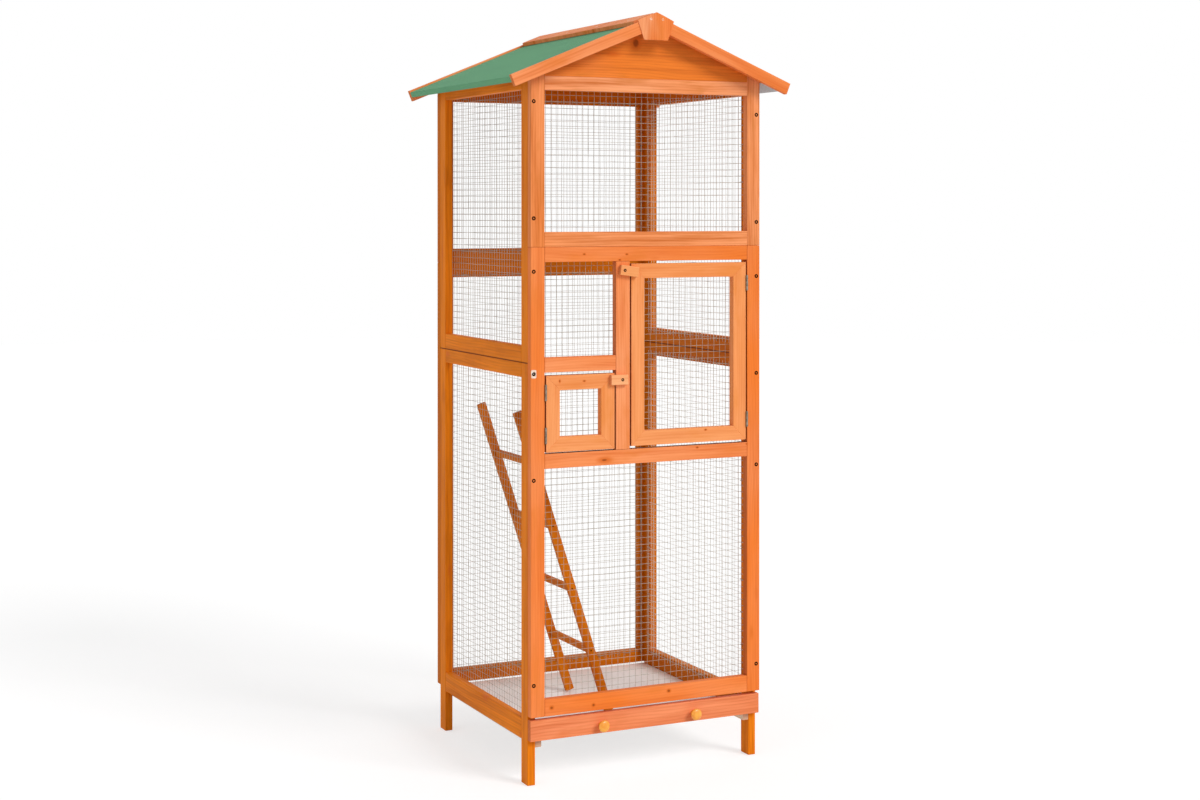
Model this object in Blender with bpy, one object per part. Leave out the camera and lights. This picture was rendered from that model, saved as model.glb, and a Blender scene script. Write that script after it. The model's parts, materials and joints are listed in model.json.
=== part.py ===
"""Wooden bird cage on four legs, with a felted gable roof, two mitred doors, a pull-out tray
and a loose ladder.

Metres, +Z up, front towards -Y. The origin is on the floor, below the middle of the roof.
"""
import math

import bmesh
import bpy
from mathutils import Matrix, Vector

# Overall sizes
BODY_WIDTH = 0.560
BODY_DEPTH = 0.550
WALL_TOP = 1.516
ROOF_PITCH = math.radians(22.2)
EAVE_OVERHANG = 0.060
FRONT_OVERHANG = 0.034
REAR_OVERHANG = 0.040

# Timber sections
FRAME_THICK = 0.018
RAIL = 0.032
REAR_STILE = 0.034
REAR_TOP_RAIL = 0.0355
SIDE_STILE = 0.034
SIDE_FOOT_RAIL = 0.044
SIDE_TOP_RAIL = 0.032
SIDE_MIDDLE_RAIL = 0.035
FRONT_FOOT_RAIL = 0.036
FRONT_GABLE_DROP = 0.035
REAR_GABLE_DROP = 0.033
BARGE_HEIGHT = 0.026
BARGE_THICK = 0.012
DECK_THICK = 0.009
CAP_THICK = 0.009
CAP_WIDTH = 0.050

# Heights above the floor
FRONT_BOTTOM = 0.1485
FRONT_SEAM = 1.147
SILL_TOP = 0.7073
SIDE_BOTTOM = 0.094
SIDE_SEAM = 0.900
REAR_BOTTOM = 0.1025
REAR_SEAM = 1.102

# Doors
DOOR_POST_LEFT = 0.201
DOOR_POST_WIDTH = 0.0335
DOOR_GAP = 0.0035
LARGE_DOOR_TOP_GAP = 0.0055
LARGE_DOOR_FOOT_GAP = 0.006
SMALL_DOOR_TOP_GAP = 0.0065
SMALL_DOOR_FOOT_GAP = 0.0025
SMALL_DOOR_HEIGHT = 0.1636

# Roof covering
FELT_THICK = 0.002
FELT_BELOW_BARGE = 0.004
FELT_LIP = 0.008
PLATE_HALF_WIDTH = 0.044
PLATE_FOOT_HALF_WIDTH = 0.029
PLATE_DROP = 0.0545
PLATE_THICK = 0.0057

# Wire netting, drawn coarse as flat strips; the crossed wires themselves take up NETTING_DEPTH
NETTING_DEPTH = 0.002
STRIP_WIDTH = 0.0075
STRIP_THICK = 0.0008
NET_OVERLAP = 0.012
NET_SIDE_MARGIN = 0.003
NET_PITCH = 0.077

# Tray
TRAY_BOARD_THICK = 0.015
TRAY_BOARD_HEIGHT = 0.044
TRAY_TOP_GAP = 0.007
TRAY_FLOOR_THICK = 0.003
TRAY_SIDE_CLEARANCE = 0.0025
TRAY_REAR_CLEARANCE = 0.004
RUNNER_WIDTH = 0.014
RUNNER_HEIGHT = 0.017
KNOB_SPACING = 0.226
KNOB_RADIUS = 0.013
KNOB_LENGTH = 0.019
KNOB_BELOW_MIDDLE = 0.004
KNOB_SEGMENTS = 16
KNOB_SHARP_ANGLE = math.radians(40)
# The knob's outline: shares of its radius, and of its length out from the board
KNOB_PROFILE = ((0.55, 0.0), (0.55, 0.35), (1.0, 0.55), (1.0, 0.75), (0.72, 0.95), (0.35, 1.0))

# Turn buttons
BUTTON_HEIGHT = 0.022
BUTTON_THICK = 0.010
BUTTON_CHAMFER = 0.001
LARGE_BUTTON_LENGTH = 0.044
LARGE_BUTTON_PIVOT = 0.010
SMALL_BUTTON_LENGTH = 0.041
SMALL_BUTTON_PIVOT = 0.014
SMALL_PIVOT_FROM_POST_EDGE = 0.0112
LARGE_BUTTON_DROP = 0.0195
SMALL_BUTTON_DROP = 0.0208

# Hinges
HINGE_HEIGHT = 0.034
KNUCKLE_RADIUS = 0.0022
LEAF_THICK = 0.0009
LEAF_DEPTH = 0.012
KNUCKLE_CLEARANCE = 0.0004
LARGE_HINGE_INSET = 0.046
SMALL_HINGE_INSET = 0.036
PIN_SEGMENTS = 12
ROLL_ANGLE = math.radians(292)
ROLL_STEPS = 9

# Ladder
LADDER_LENGTH = 0.715
LADDER_SPACING = 0.208
LADDER_MIDDLE_Y = -0.028
STRINGER_WIDTH = 0.020
STRINGER_THICK = 0.010
RUNG_HEIGHT = 0.015
RUNG_THICK = 0.009
FIRST_RUNG = 0.147
RUNG_STEP = 0.1495
RUNG_COUNT = 4
LADDER_LEAN = math.radians(18.2)

# Gap between pieces that touch
GAP = 0.0003

# Places worked out from the sizes above
HALF_W = BODY_WIDTH / 2
HALF_D = BODY_DEPTH / 2
FRONT_Y = -HALF_D
FRONT_BACK_Y = FRONT_Y + FRAME_THICK
REAR_Y = HALF_D - FRAME_THICK
SIDE_INNER = HALF_W - FRAME_THICK
SLOPE = math.tan(ROOF_PITCH)
NORMAL_TO_VERTICAL = 1 / math.cos(ROOF_PITCH)
DECK_TOP = -(FELT_BELOW_BARGE + FELT_THICK + GAP)
DECK_UNDER = DECK_TOP - DECK_THICK
RIDGE_HEIGHT = WALL_TOP + SLOPE * HALF_W - (DECK_UNDER - GAP) * NORMAL_TO_VERTICAL
ROOF_HALF_WIDTH = HALF_W + EAVE_OVERHANG
ROOF_FRONT_Y = FRONT_Y - FRONT_OVERHANG
ROOF_REAR_Y = HALF_D + REAR_OVERHANG
FRONT_GABLE_BOTTOM = WALL_TOP - FRONT_GABLE_DROP
REAR_GABLE_BOTTOM = WALL_TOP - REAR_GABLE_DROP
SIDE_TOP_OPENING = WALL_TOP - SIDE_TOP_RAIL
POST_LEFT = -HALF_W + DOOR_POST_LEFT
POST_RIGHT = POST_LEFT + DOOR_POST_WIDTH
POST_MIDDLE = (POST_LEFT + POST_RIGHT) / 2
LOWER_TOP_RAIL_BOTTOM = FRONT_SEAM - RAIL
SMALL_DOOR_BOTTOM = SILL_TOP + SMALL_DOOR_FOOT_GAP
SMALL_DOOR_TOP = SMALL_DOOR_BOTTOM + SMALL_DOOR_HEIGHT
WINDOW_RAIL_TOP = SMALL_DOOR_TOP + SMALL_DOOR_TOP_GAP + RAIL
LARGE_DOOR_BOTTOM = SILL_TOP + LARGE_DOOR_FOOT_GAP
LARGE_DOOR_TOP = LOWER_TOP_RAIL_BOTTOM - LARGE_DOOR_TOP_GAP
TRAY_BOARD_BOTTOM = FRONT_BOTTOM - TRAY_TOP_GAP - TRAY_BOARD_HEIGHT
TRAY_FLOOR_TOP = TRAY_BOARD_BOTTOM + TRAY_FLOOR_THICK
BUTTON_BACK_Y = FRONT_Y - GAP
HINGE_Y = FRONT_Y - GAP - KNUCKLE_RADIUS
PIN_RADIUS = KNUCKLE_RADIUS - LEAF_THICK - KNUCKLE_CLEARANCE

PINE = ("stained_pine", (0.80, 0.32, 0.10), 0.55, 0.0)
SIDE_PINE = ("shaded_pine", (0.62, 0.22, 0.07), 0.60, 0.0)
PALE_PINE = ("pale_pine", (0.88, 0.50, 0.26), 0.60, 0.0)
TRAY_PINE = ("tray_pine", (0.82, 0.34, 0.16), 0.60, 0.0)
WIRE_STEEL = ("galvanised_wire", (0.72, 0.72, 0.72), 0.40, 0.9)
HINGE_STEEL = ("hinge_steel", (0.60, 0.58, 0.54), 0.35, 0.9)
FELT_GREEN = ("green_felt", (0.17, 0.36, 0.26), 0.95, 0.0)
TRAY_WHITE = ("white_board", (0.86, 0.82, 0.80), 0.45, 0.0)
KNOB_YELLOW = ("yellow_knob", (0.90, 0.42, 0.06), 0.35, 0.0)


def clear_scene():
    """Remove the objects that a new file holds."""
    for item in list(bpy.data.objects):
        bpy.data.objects.remove(item, do_unlink=True)


def material(spec):
    """Return the named Principled material, made once."""
    name, colour, roughness, metallic = spec
    made = bpy.data.materials.get(name)
    if made:
        return made
    made = bpy.data.materials.new(name)
    made.use_nodes = True
    shader = made.node_tree.nodes["Principled BSDF"]
    shader.inputs["Base Color"].default_value = (*colour, 1.0)
    shader.inputs["Roughness"].default_value = roughness
    shader.inputs["Metallic"].default_value = metallic
    return made


def add_object(name, bm, spec, origin=(0, 0, 0)):
    """Turn a bmesh in world coordinates into an object whose origin is at the given point."""
    bmesh.ops.recalc_face_normals(bm, faces=bm.faces)
    bmesh.ops.translate(bm, verts=bm.verts, vec=-Vector(origin))
    mesh = bpy.data.meshes.new(name)
    bm.to_mesh(mesh)
    bm.free()
    mesh.materials.append(material(spec))
    made = bpy.data.objects.new(name, mesh)
    made.location = origin
    bpy.context.collection.objects.link(made)
    return made


def plate(name, points, faces, to_world, spec, origin=(0, 0, 0)):
    """Build a closed plate from flat faces that share edges.

    points are (u, v) pairs, faces index them, and to_world turns (u, v, side) into a place,
    with side 0 on one face of the plate and 1 on the other.
    """
    bm = bmesh.new()
    sheets = []
    for side in (0, 1):
        sheets.append([bm.verts.new(to_world(u, v, side)) for u, v in points])
    edge_count = {}
    for face in faces:
        for a, b in zip(face, face[1:] + face[:1]):
            key = (min(a, b), max(a, b))
            edge_count[key] = edge_count.get(key, 0) + 1
    for face in faces:
        bm.faces.new([sheets[0][i] for i in face])
        bm.faces.new([sheets[1][i] for i in reversed(face)])
        for a, b in zip(face, face[1:] + face[:1]):
            if edge_count[(min(a, b), max(a, b))] == 1:
                bm.faces.new([sheets[0][b], sheets[0][a], sheets[1][a], sheets[1][b]])
    return add_object(name, bm, spec, origin)


def lattice(name, us, vs, is_solid, to_world, spec, origin=(0, 0, 0)):
    """Build a plate from the solid cells of a grid with the given lines."""
    faces = []
    for i in range(len(us) - 1):
        for j in range(len(vs) - 1):
            if is_solid(i, j):
                corners = ((i, j), (i + 1, j), (i + 1, j + 1), (i, j + 1))
                faces.append([a * len(vs) + b for a, b in corners])
    used = sorted({k for face in faces for k in face})
    place = {k: n for n, k in enumerate(used)}
    points = [(us[k // len(vs)], vs[k % len(vs)]) for k in used]
    faces = [[place[k] for k in face] for face in faces]
    return plate(name, points, faces, to_world, spec, origin)


def facing_y(y0, y1):
    """Place a plate's (u, v) at (x, z), between two planes of constant y."""
    return lambda u, v, side: Vector((u, y1 if side else y0, v))


def facing_x(x0, x1):
    """Place a plate's (u, v) at (y, z), between two planes of constant x."""
    return lambda u, v, side: Vector((x1 if side else x0, u, v))


def box(name, low, high, spec, origin=(0, 0, 0)):
    """Build a box between two corners."""
    us = (low[0], high[0])
    vs = (low[2], high[2])
    return lattice(name, us, vs, lambda i, j: True, facing_y(low[1], high[1]), spec, origin)


def slope_z(x, offset):
    """Height at x of the line that lies this far, square to the slope, above the barges' top."""
    return RIDGE_HEIGHT - SLOPE * abs(x) + offset * NORMAL_TO_VERTICAL


def under_deck(x):
    """Height at x where a wall that carries the roof ends."""
    return slope_z(x, DECK_UNDER - GAP)


def ring_frame(name, u0, u1, v0, v1, widths, to_world, spec, origin=(0, 0, 0)):
    """Build a rectangular frame; widths are those of its left, right, bottom and top bars."""
    left, right, bottom, top = widths
    us = (u0, u0 + left, u1 - right, u1)
    vs = (v0, v0 + bottom, v1 - top, v1)
    return lattice(name, us, vs, lambda i, j: (i, j) != (1, 1), to_world, spec, origin)


def gable_frame(name, bottom, opening_bottom, opening_top, stile, y0, y1):
    """Build an upper front or rear frame whose gable board follows the roof."""
    x0, x1, x2, x3 = -HALF_W, -HALF_W + stile, HALF_W - stile, HALF_W
    rows = (bottom, opening_bottom, opening_top)
    points = [(x, z) for z in rows for x in (x0, x1, x2, x3)]
    points += [(x, under_deck(x)) for x in (x0, x1, 0.0, x2, x3)]
    faces = [[0, 1, 5, 4], [1, 2, 6, 5], [2, 3, 7, 6], [4, 5, 9, 8], [6, 7, 11, 10]]
    faces += [[8, 9, 13, 12], [9, 10, 15, 14, 13], [10, 11, 16, 15]]
    plate(name, points, faces, facing_y(y0, y1), PINE)


def net(name, u0, u1, v0, v1, to_world, origin=(0, 0, 0)):
    """Build a flat net of crossed strips, with square gaps as near the pitch as the sheet allows."""
    def strips(a, b):
        count = max(1, round((b - a) / NET_PITCH))
        step = (b - a - STRIP_WIDTH) / count
        lines = []
        for k in range(count + 1):
            lines += [a + k * step, a + k * step + STRIP_WIDTH]
        return lines

    def is_strip(i, j):
        return i % 2 == 0 or j % 2 == 0

    lattice(name, strips(u0, u1), strips(v0, v1), is_strip, to_world, WIRE_STEEL, origin)


def front_net_plane():
    """The netting behind the front frames."""
    return facing_y(FRONT_BACK_Y + GAP, FRONT_BACK_Y + GAP + STRIP_THICK)


def front_lower_frame():
    """The seven bars round the doors, the window and the lower opening."""
    left = -HALF_W + RAIL
    right = HALF_W - RAIL
    y0, y1 = FRONT_Y, FRONT_BACK_Y
    top = FRONT_SEAM - GAP
    window_rail_bottom = WINDOW_RAIL_TOP - RAIL
    sill_bottom = SILL_TOP - RAIL
    foot_rail_top = FRONT_BOTTOM + FRONT_FOOT_RAIL
    bars = {
        "front_lower_left_stile": (-HALF_W, left, FRONT_BOTTOM, top),
        "front_lower_right_stile": (right, HALF_W, FRONT_BOTTOM, top),
        "front_lower_top_rail": (left + GAP, right - GAP, LOWER_TOP_RAIL_BOTTOM, top),
        "front_sill_rail": (left + GAP, right - GAP, sill_bottom, SILL_TOP),
        "front_lower_bottom_rail": (left + GAP, right - GAP, FRONT_BOTTOM, foot_rail_top),
        "front_door_post": (POST_LEFT, POST_RIGHT, SILL_TOP + GAP, LOWER_TOP_RAIL_BOTTOM - GAP),
        "front_window_rail": (left + GAP, POST_LEFT - GAP, window_rail_bottom, WINDOW_RAIL_TOP),
    }
    for name, (x0, x1, z0, z1) in bars.items():
        box(name, (x0, y0, z0), (x1, y1, z1), PINE)


def front_upper_frame():
    """The upper front frame with its gable board."""
    sill = FRONT_SEAM + RAIL
    gable_frame("front_upper_frame", FRONT_SEAM, sill, FRONT_GABLE_BOTTOM, RAIL, FRONT_Y, FRONT_BACK_Y)


def front_nets():
    """Netting of the upper opening, the window over the small door and the lower opening."""
    plane = front_net_plane()
    side = SIDE_INNER - GAP - NET_SIDE_MARGIN
    upper_bottom = FRONT_SEAM + RAIL - NET_OVERLAP
    net("front_upper_mesh", -side, side, upper_bottom, FRONT_GABLE_BOTTOM + NET_OVERLAP, plane)
    window_bottom = WINDOW_RAIL_TOP - NET_OVERLAP
    window_top = LOWER_TOP_RAIL_BOTTOM + NET_OVERLAP
    net("front_window_mesh", -side, POST_LEFT + NET_OVERLAP, window_bottom, window_top, plane)
    lower_bottom = FRONT_BOTTOM + FRONT_FOOT_RAIL - NET_OVERLAP
    net("front_lower_mesh", -side, side, lower_bottom, SILL_TOP - RAIL + NET_OVERLAP, plane)


def door(prefix, x0, x1, z0, z1, axis_x):
    """A mitred door frame with its netting, both with their origin on the hinge axis."""
    origin = (axis_x, HINGE_Y, (z0 + z1) / 2)
    to_world = facing_y(FRONT_Y, FRONT_BACK_Y)
    ring_frame(prefix + "_frame", x0, x1, z0, z1, (RAIL,) * 4, to_world, PINE, origin)
    inset = RAIL - NET_OVERLAP
    net(prefix + "_mesh", x0 + inset, x1 - inset, z0 + inset, z1 - inset, front_net_plane(), origin)


def hinge_frame_leaf(name, axis_x, side, z_middle):
    """The fixed leaf: a plate in the gap, two end knuckles and the pin between them.

    side is +1 where the fixed leaf lies at +X of the axis.
    """
    low = z_middle - HINGE_HEIGHT / 2
    third = HINGE_HEIGHT / 3
    inner = DOOR_GAP / 2 - GAP - LEAF_THICK
    outer = DOOR_GAP / 2 - GAP
    planes = facing_x(axis_x + side * inner, axis_x + side * outer)
    us = (HINGE_Y, HINGE_Y + KNUCKLE_RADIUS + 2 * KNUCKLE_CLEARANCE, FRONT_Y + LEAF_DEPTH)
    vs = (low, low + third, low + 2 * third, low + HINGE_HEIGHT)
    leaf = lattice(name, us, vs, lambda i, j: (i, j) != (0, 1), planes, HINGE_STEEL)
    bm = bmesh.new()
    heights = ((KNUCKLE_RADIUS, vs[0]), (KNUCKLE_RADIUS, vs[1]), (PIN_RADIUS, vs[1]))
    heights += ((PIN_RADIUS, vs[2]), (KNUCKLE_RADIUS, vs[2]), (KNUCKLE_RADIUS, vs[3]))
    turned(bm, heights, PIN_SEGMENTS)
    bmesh.ops.translate(bm, verts=bm.verts, vec=(axis_x, HINGE_Y, 0))
    pin = add_object(name + "_pin_cutter", bm, HINGE_STEEL)
    pin.hide_render = True
    pin.display_type = "WIRE"
    union = leaf.modifiers.new("knuckles", "BOOLEAN")
    union.operation = "UNION"
    union.object = pin


def turned(bm, profile, segments):
    """Add a solid turned about Z from (radius, height) pairs that run from bottom to top."""
    rings = []
    for radius, height in profile:
        ring = []
        for k in range(segments):
            angle = 2 * math.pi * k / segments
            ring.append(bm.verts.new((radius * math.cos(angle), radius * math.sin(angle), height)))
        rings.append(ring)
    for lower, upper in zip(rings, rings[1:]):
        for k in range(segments):
            n = (k + 1) % segments
            bm.faces.new((lower[k], lower[n], upper[n], upper[k]))
    bm.faces.new(list(reversed(rings[0])))
    bm.faces.new(rings[-1])


def hinge_door_leaf(name, axis_x, side, z_middle):
    """The moving leaf: a strip whose middle third is rolled round the pin.

    side is +1 where the moving leaf lies at +X of the axis.
    """
    low = z_middle - HINGE_HEIGHT / 2
    third = HINGE_HEIGHT / 3
    middle = KNUCKLE_RADIUS - LEAF_THICK / 2
    offset = DOOR_GAP / 2 - GAP - LEAF_THICK / 2
    rise = math.sqrt(middle * middle - offset * offset)
    start = math.atan2(rise, offset)
    straight = [FRONT_Y + LEAF_DEPTH - HINGE_Y, KNUCKLE_RADIUS + 2 * KNUCKLE_CLEARANCE]
    us = list(range(len(straight) + ROLL_STEPS + 1))

    def to_world(u, v, side_of_strip):
        half = LEAF_THICK / 2 * (1 if side_of_strip else -1)
        index = int(u)
        if index < len(straight):
            x, y = offset + half, straight[index]
        else:
            angle = start - ROLL_ANGLE * (index - len(straight)) / ROLL_STEPS
            x = (middle + half) * math.cos(angle)
            y = (middle + half) * math.sin(angle)
        return Vector((axis_x + side * x, HINGE_Y + y, v))

    gap = KNUCKLE_CLEARANCE
    vs = (low, low + third + gap, low + 2 * third - gap, low + HINGE_HEIGHT)
    origin = (axis_x, HINGE_Y, z_middle)
    lattice(name, us, vs, lambda i, j: i == 0 or j == 1, to_world, HINGE_STEEL, origin)


def doors():
    """Both doors, each with two hinges whose knuckles stand just proud of the front."""
    large_axis = HALF_W - RAIL - DOOR_GAP / 2
    small_axis = -HALF_W + RAIL + DOOR_GAP / 2
    half = DOOR_GAP / 2
    large = (LARGE_DOOR_BOTTOM, LARGE_DOOR_TOP)
    small = (SMALL_DOOR_BOTTOM, SMALL_DOOR_TOP)
    door("large_door", POST_RIGHT + DOOR_GAP, large_axis - half, *large, large_axis)
    door("small_door", small_axis + half, POST_LEFT - DOOR_GAP, *small, small_axis)
    layout = (
        ("large_door", large_axis, 1, *large, LARGE_HINGE_INSET),
        ("small_door", small_axis, -1, *small, SMALL_HINGE_INSET),
    )
    for prefix, axis_x, side, z0, z1, inset in layout:
        for place, z in (("lower", z0 + inset), ("upper", z1 - inset)):
            hinge_frame_leaf(f"{prefix}_{place}_hinge_fixed_leaf", axis_x, side, z)
            hinge_door_leaf(f"{prefix}_{place}_hinge_door_leaf", axis_x, -side, z)


def turn_button(name, pivot_x, pivot_z, left, right):
    """A turn button with softened corners, its origin on its screw."""
    bm = bmesh.new()
    low, high = pivot_z - BUTTON_HEIGHT / 2, pivot_z + BUTTON_HEIGHT / 2
    corners = ((left, low), (right, low), (right, high), (left, high))
    ring = [bm.verts.new((x, BUTTON_BACK_Y, z)) for x, z in corners]
    face = bm.faces.new(ring)
    grown = bmesh.ops.extrude_face_region(bm, geom=[face])
    moved = [v for v in grown["geom"] if isinstance(v, bmesh.types.BMVert)]
    bmesh.ops.translate(bm, verts=moved, vec=(0, -BUTTON_THICK, 0))
    made = add_object(name, bm, PALE_PINE, (pivot_x, BUTTON_BACK_Y, pivot_z))
    bevel = made.modifiers.new("soft_corners", "BEVEL")
    bevel.width = BUTTON_CHAMFER
    bevel.segments = 1


def turn_buttons():
    """The two turn buttons on the door post, one over each door's edge."""
    large_z = LOWER_TOP_RAIL_BOTTOM - LARGE_BUTTON_DROP
    small_z = WINDOW_RAIL_TOP - RAIL - SMALL_BUTTON_DROP
    left = POST_MIDDLE - LARGE_BUTTON_PIVOT
    turn_button("large_door_turn_button", POST_MIDDLE, large_z, left, left + LARGE_BUTTON_LENGTH)
    pivot = POST_LEFT + SMALL_PIVOT_FROM_POST_EDGE
    right = pivot + SMALL_BUTTON_PIVOT
    turn_button("small_door_turn_button", pivot, small_z, right - SMALL_BUTTON_LENGTH, right)


def side_frames():
    """Left and right walls: a lower frame whose stiles run down as legs, and an upper frame."""
    u0, u1 = FRONT_BACK_Y + GAP, REAR_Y - GAP
    us = (u0, u0 + SIDE_STILE, u1 - SIDE_STILE, u1)
    foot_top = SIDE_BOTTOM + SIDE_FOOT_RAIL
    lower_vs = (0.0, SIDE_BOTTOM, foot_top, SIDE_SEAM - GAP - RAIL, SIDE_SEAM - GAP)
    open_cells = ((1, 0), (1, 2))

    def is_timber(i, j):
        return (i, j) not in open_cells

    for name, sign in (("left", -1), ("right", 1)):
        planes = facing_x(sign * HALF_W, sign * SIDE_INNER)
        lattice(name + "_lower_frame", us, lower_vs, is_timber, planes, SIDE_PINE)
        widths = (SIDE_STILE, SIDE_STILE, SIDE_MIDDLE_RAIL, SIDE_TOP_RAIL)
        ring_frame(name + "_upper_frame", u0, u1, SIDE_SEAM, WALL_TOP, widths, planes, SIDE_PINE)
        net_x = sign * (SIDE_INNER - GAP)
        net_planes = facing_x(net_x, net_x - sign * STRIP_THICK)
        edge = SIDE_STILE - NET_OVERLAP
        lower_top = SIDE_SEAM - RAIL + NET_OVERLAP
        net(name + "_lower_mesh", u0 + edge, u1 - edge, foot_top - NET_OVERLAP, lower_top, net_planes)
        upper_bottom = SIDE_SEAM + SIDE_MIDDLE_RAIL - NET_OVERLAP
        upper_top = SIDE_TOP_OPENING + NET_OVERLAP
        net(name + "_upper_mesh", u0 + edge, u1 - edge, upper_bottom, upper_top, net_planes)


def rear_frames():
    """The rear wall: a lower frame, an upper frame with its gable, and their netting."""
    planes = facing_y(REAR_Y, HALF_D)
    widths = (REAR_STILE, REAR_STILE, RAIL, REAR_TOP_RAIL)
    top = REAR_SEAM - GAP
    sill = REAR_SEAM + RAIL
    ring_frame("rear_lower_frame", -HALF_W, HALF_W, REAR_BOTTOM, top, widths, planes, SIDE_PINE)
    gable_frame("rear_upper_frame", REAR_SEAM, sill, REAR_GABLE_BOTTOM, REAR_STILE, REAR_Y, HALF_D)
    net_planes = facing_y(REAR_Y - GAP, REAR_Y - GAP - STRIP_THICK)
    side = SIDE_INNER - GAP - NET_SIDE_MARGIN
    lower_bottom = REAR_BOTTOM + RAIL - NET_OVERLAP
    net("rear_lower_mesh", -side, side, lower_bottom, top - REAR_TOP_RAIL + NET_OVERLAP, net_planes)
    upper_bottom = sill - NET_OVERLAP
    net("rear_upper_mesh", -side, side, upper_bottom, REAR_GABLE_BOTTOM + NET_OVERLAP, net_planes)


def slope_point(sign, along, offset):
    """A point (x, z) this far down the slope from the ridge and this far off its barge line."""
    x = along * math.cos(ROOF_PITCH) + offset * math.sin(ROOF_PITCH)
    z = RIDGE_HEIGHT - along * math.sin(ROOF_PITCH) + offset * math.cos(ROOF_PITCH)
    return sign * x, z


def ridge_point(sign, offset):
    """Where a layer of the roof ends at the ridge, on an upright cut."""
    x = GAP / 2
    return sign * x, slope_z(x, offset)


def roof_layer(name, sign, end, low, high, y0, y1, spec):
    """A board or sheet on one slope, from the ridge this far down."""
    inner = [ridge_point(sign, low), ridge_point(sign, high)]
    outer = [slope_point(sign, end, high), slope_point(sign, end, low)]
    plate(name, inner + outer, [[0, 1, 2, 3]], facing_y(y0, y1), spec)


def roof():
    """Two decks with felt, four barge boards, two ridge caps and the plate over the front joint."""
    slope_length = ROOF_HALF_WIDTH / math.cos(ROOF_PITCH)
    deck_front = ROOF_FRONT_Y + BARGE_THICK + GAP
    deck_rear = ROOF_REAR_Y - BARGE_THICK - GAP
    deck_end = slope_length - FELT_THICK - 2 * GAP
    felt_low = DECK_TOP + GAP
    felt_high = felt_low + FELT_THICK
    covered = (deck_front, deck_rear)
    for name, sign in (("left", -1), ("right", 1)):
        roof_layer(name + "_roof_deck", sign, deck_end, DECK_UNDER, DECK_TOP, *covered, SIDE_PINE)
        lip_inner = deck_end + GAP
        lip_bottom = felt_low - FELT_LIP
        outline = [
            ridge_point(sign, felt_low),
            ridge_point(sign, felt_high),
            slope_point(sign, lip_inner + FELT_THICK, felt_high),
            slope_point(sign, lip_inner + FELT_THICK, lip_bottom),
            slope_point(sign, lip_inner, lip_bottom),
            slope_point(sign, lip_inner, felt_low),
        ]
        plate(name + "_roof_felt", outline, [list(range(6))], facing_y(*covered), FELT_GREEN)
        cap_low = felt_high + GAP
        cap_high = cap_low + CAP_THICK
        roof_layer(name + "_ridge_cap", sign, CAP_WIDTH, cap_low, cap_high, *covered, PINE)
        for end, y0 in (("front", ROOF_FRONT_Y), ("rear", ROOF_REAR_Y - BARGE_THICK)):
            barge = f"{end}_{name}_barge_board"
            roof_layer(barge, sign, slope_length, -BARGE_HEIGHT, 0.0, y0, y0 + BARGE_THICK, PINE)
    plate_top = felt_high + GAP + CAP_THICK
    foot = RIDGE_HEIGHT - PLATE_DROP
    outline = [
        (-PLATE_FOOT_HALF_WIDTH, foot),
        (PLATE_FOOT_HALF_WIDTH, foot),
        (PLATE_HALF_WIDTH, slope_z(PLATE_HALF_WIDTH, plate_top)),
        (0.0, slope_z(0.0, plate_top)),
        (-PLATE_HALF_WIDTH, slope_z(PLATE_HALF_WIDTH, plate_top)),
    ]
    front = ROOF_FRONT_Y - GAP
    plate("front_ridge_plate", outline, [list(range(5))], facing_y(front - PLATE_THICK, front), PINE)


def tray():
    """The pull-out tray: a front board, a thin pale floor and two turned knobs."""
    rear = FRONT_BACK_Y
    front = rear - TRAY_BOARD_THICK
    top = TRAY_BOARD_BOTTOM + TRAY_BOARD_HEIGHT
    box("tray_front_board", (-HALF_W, front, TRAY_BOARD_BOTTOM), (HALF_W, rear, top), TRAY_PINE)
    side = SIDE_INNER - TRAY_SIDE_CLEARANCE
    floor_low = (-side, rear + GAP, TRAY_BOARD_BOTTOM)
    floor_high = (side, REAR_Y - TRAY_REAR_CLEARANCE, TRAY_FLOOR_TOP)
    box("tray_floor", floor_low, floor_high, TRAY_WHITE)
    knob_z = TRAY_BOARD_BOTTOM + TRAY_BOARD_HEIGHT / 2 - KNOB_BELOW_MIDDLE
    profile = [(KNOB_RADIUS * wide, KNOB_LENGTH * out) for wide, out in KNOB_PROFILE]
    for name, x in (("tray_left_knob", -KNOB_SPACING / 2), ("tray_right_knob", KNOB_SPACING / 2)):
        bm = bmesh.new()
        turned(bm, profile, KNOB_SEGMENTS)
        bmesh.ops.rotate(bm, verts=bm.verts, matrix=Matrix.Rotation(math.pi / 2, 3, "X"))
        bmesh.ops.translate(bm, verts=bm.verts, vec=(x, front - GAP, knob_z))
        made = add_object(name, bm, KNOB_YELLOW, (x, front - GAP, knob_z))
        made.data.shade_smooth()
        made.data.set_sharp_from_angle(angle=KNOB_SHARP_ANGLE)


def tray_runners():
    """Two strips on the inner faces of the legs that carry the tray."""
    top = TRAY_BOARD_BOTTOM - GAP
    bottom = top - RUNNER_HEIGHT
    y0, y1 = FRONT_BACK_Y + GAP, REAR_Y - GAP
    for name, sign in (("left", -1), ("right", 1)):
        outer = sign * (SIDE_INNER - GAP)
        inner = outer - sign * RUNNER_WIDTH
        low = (min(outer, inner), y0, bottom)
        high = (max(outer, inner), y1, top)
        box(name + "_tray_runner", low, high, SIDE_PINE)


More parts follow.
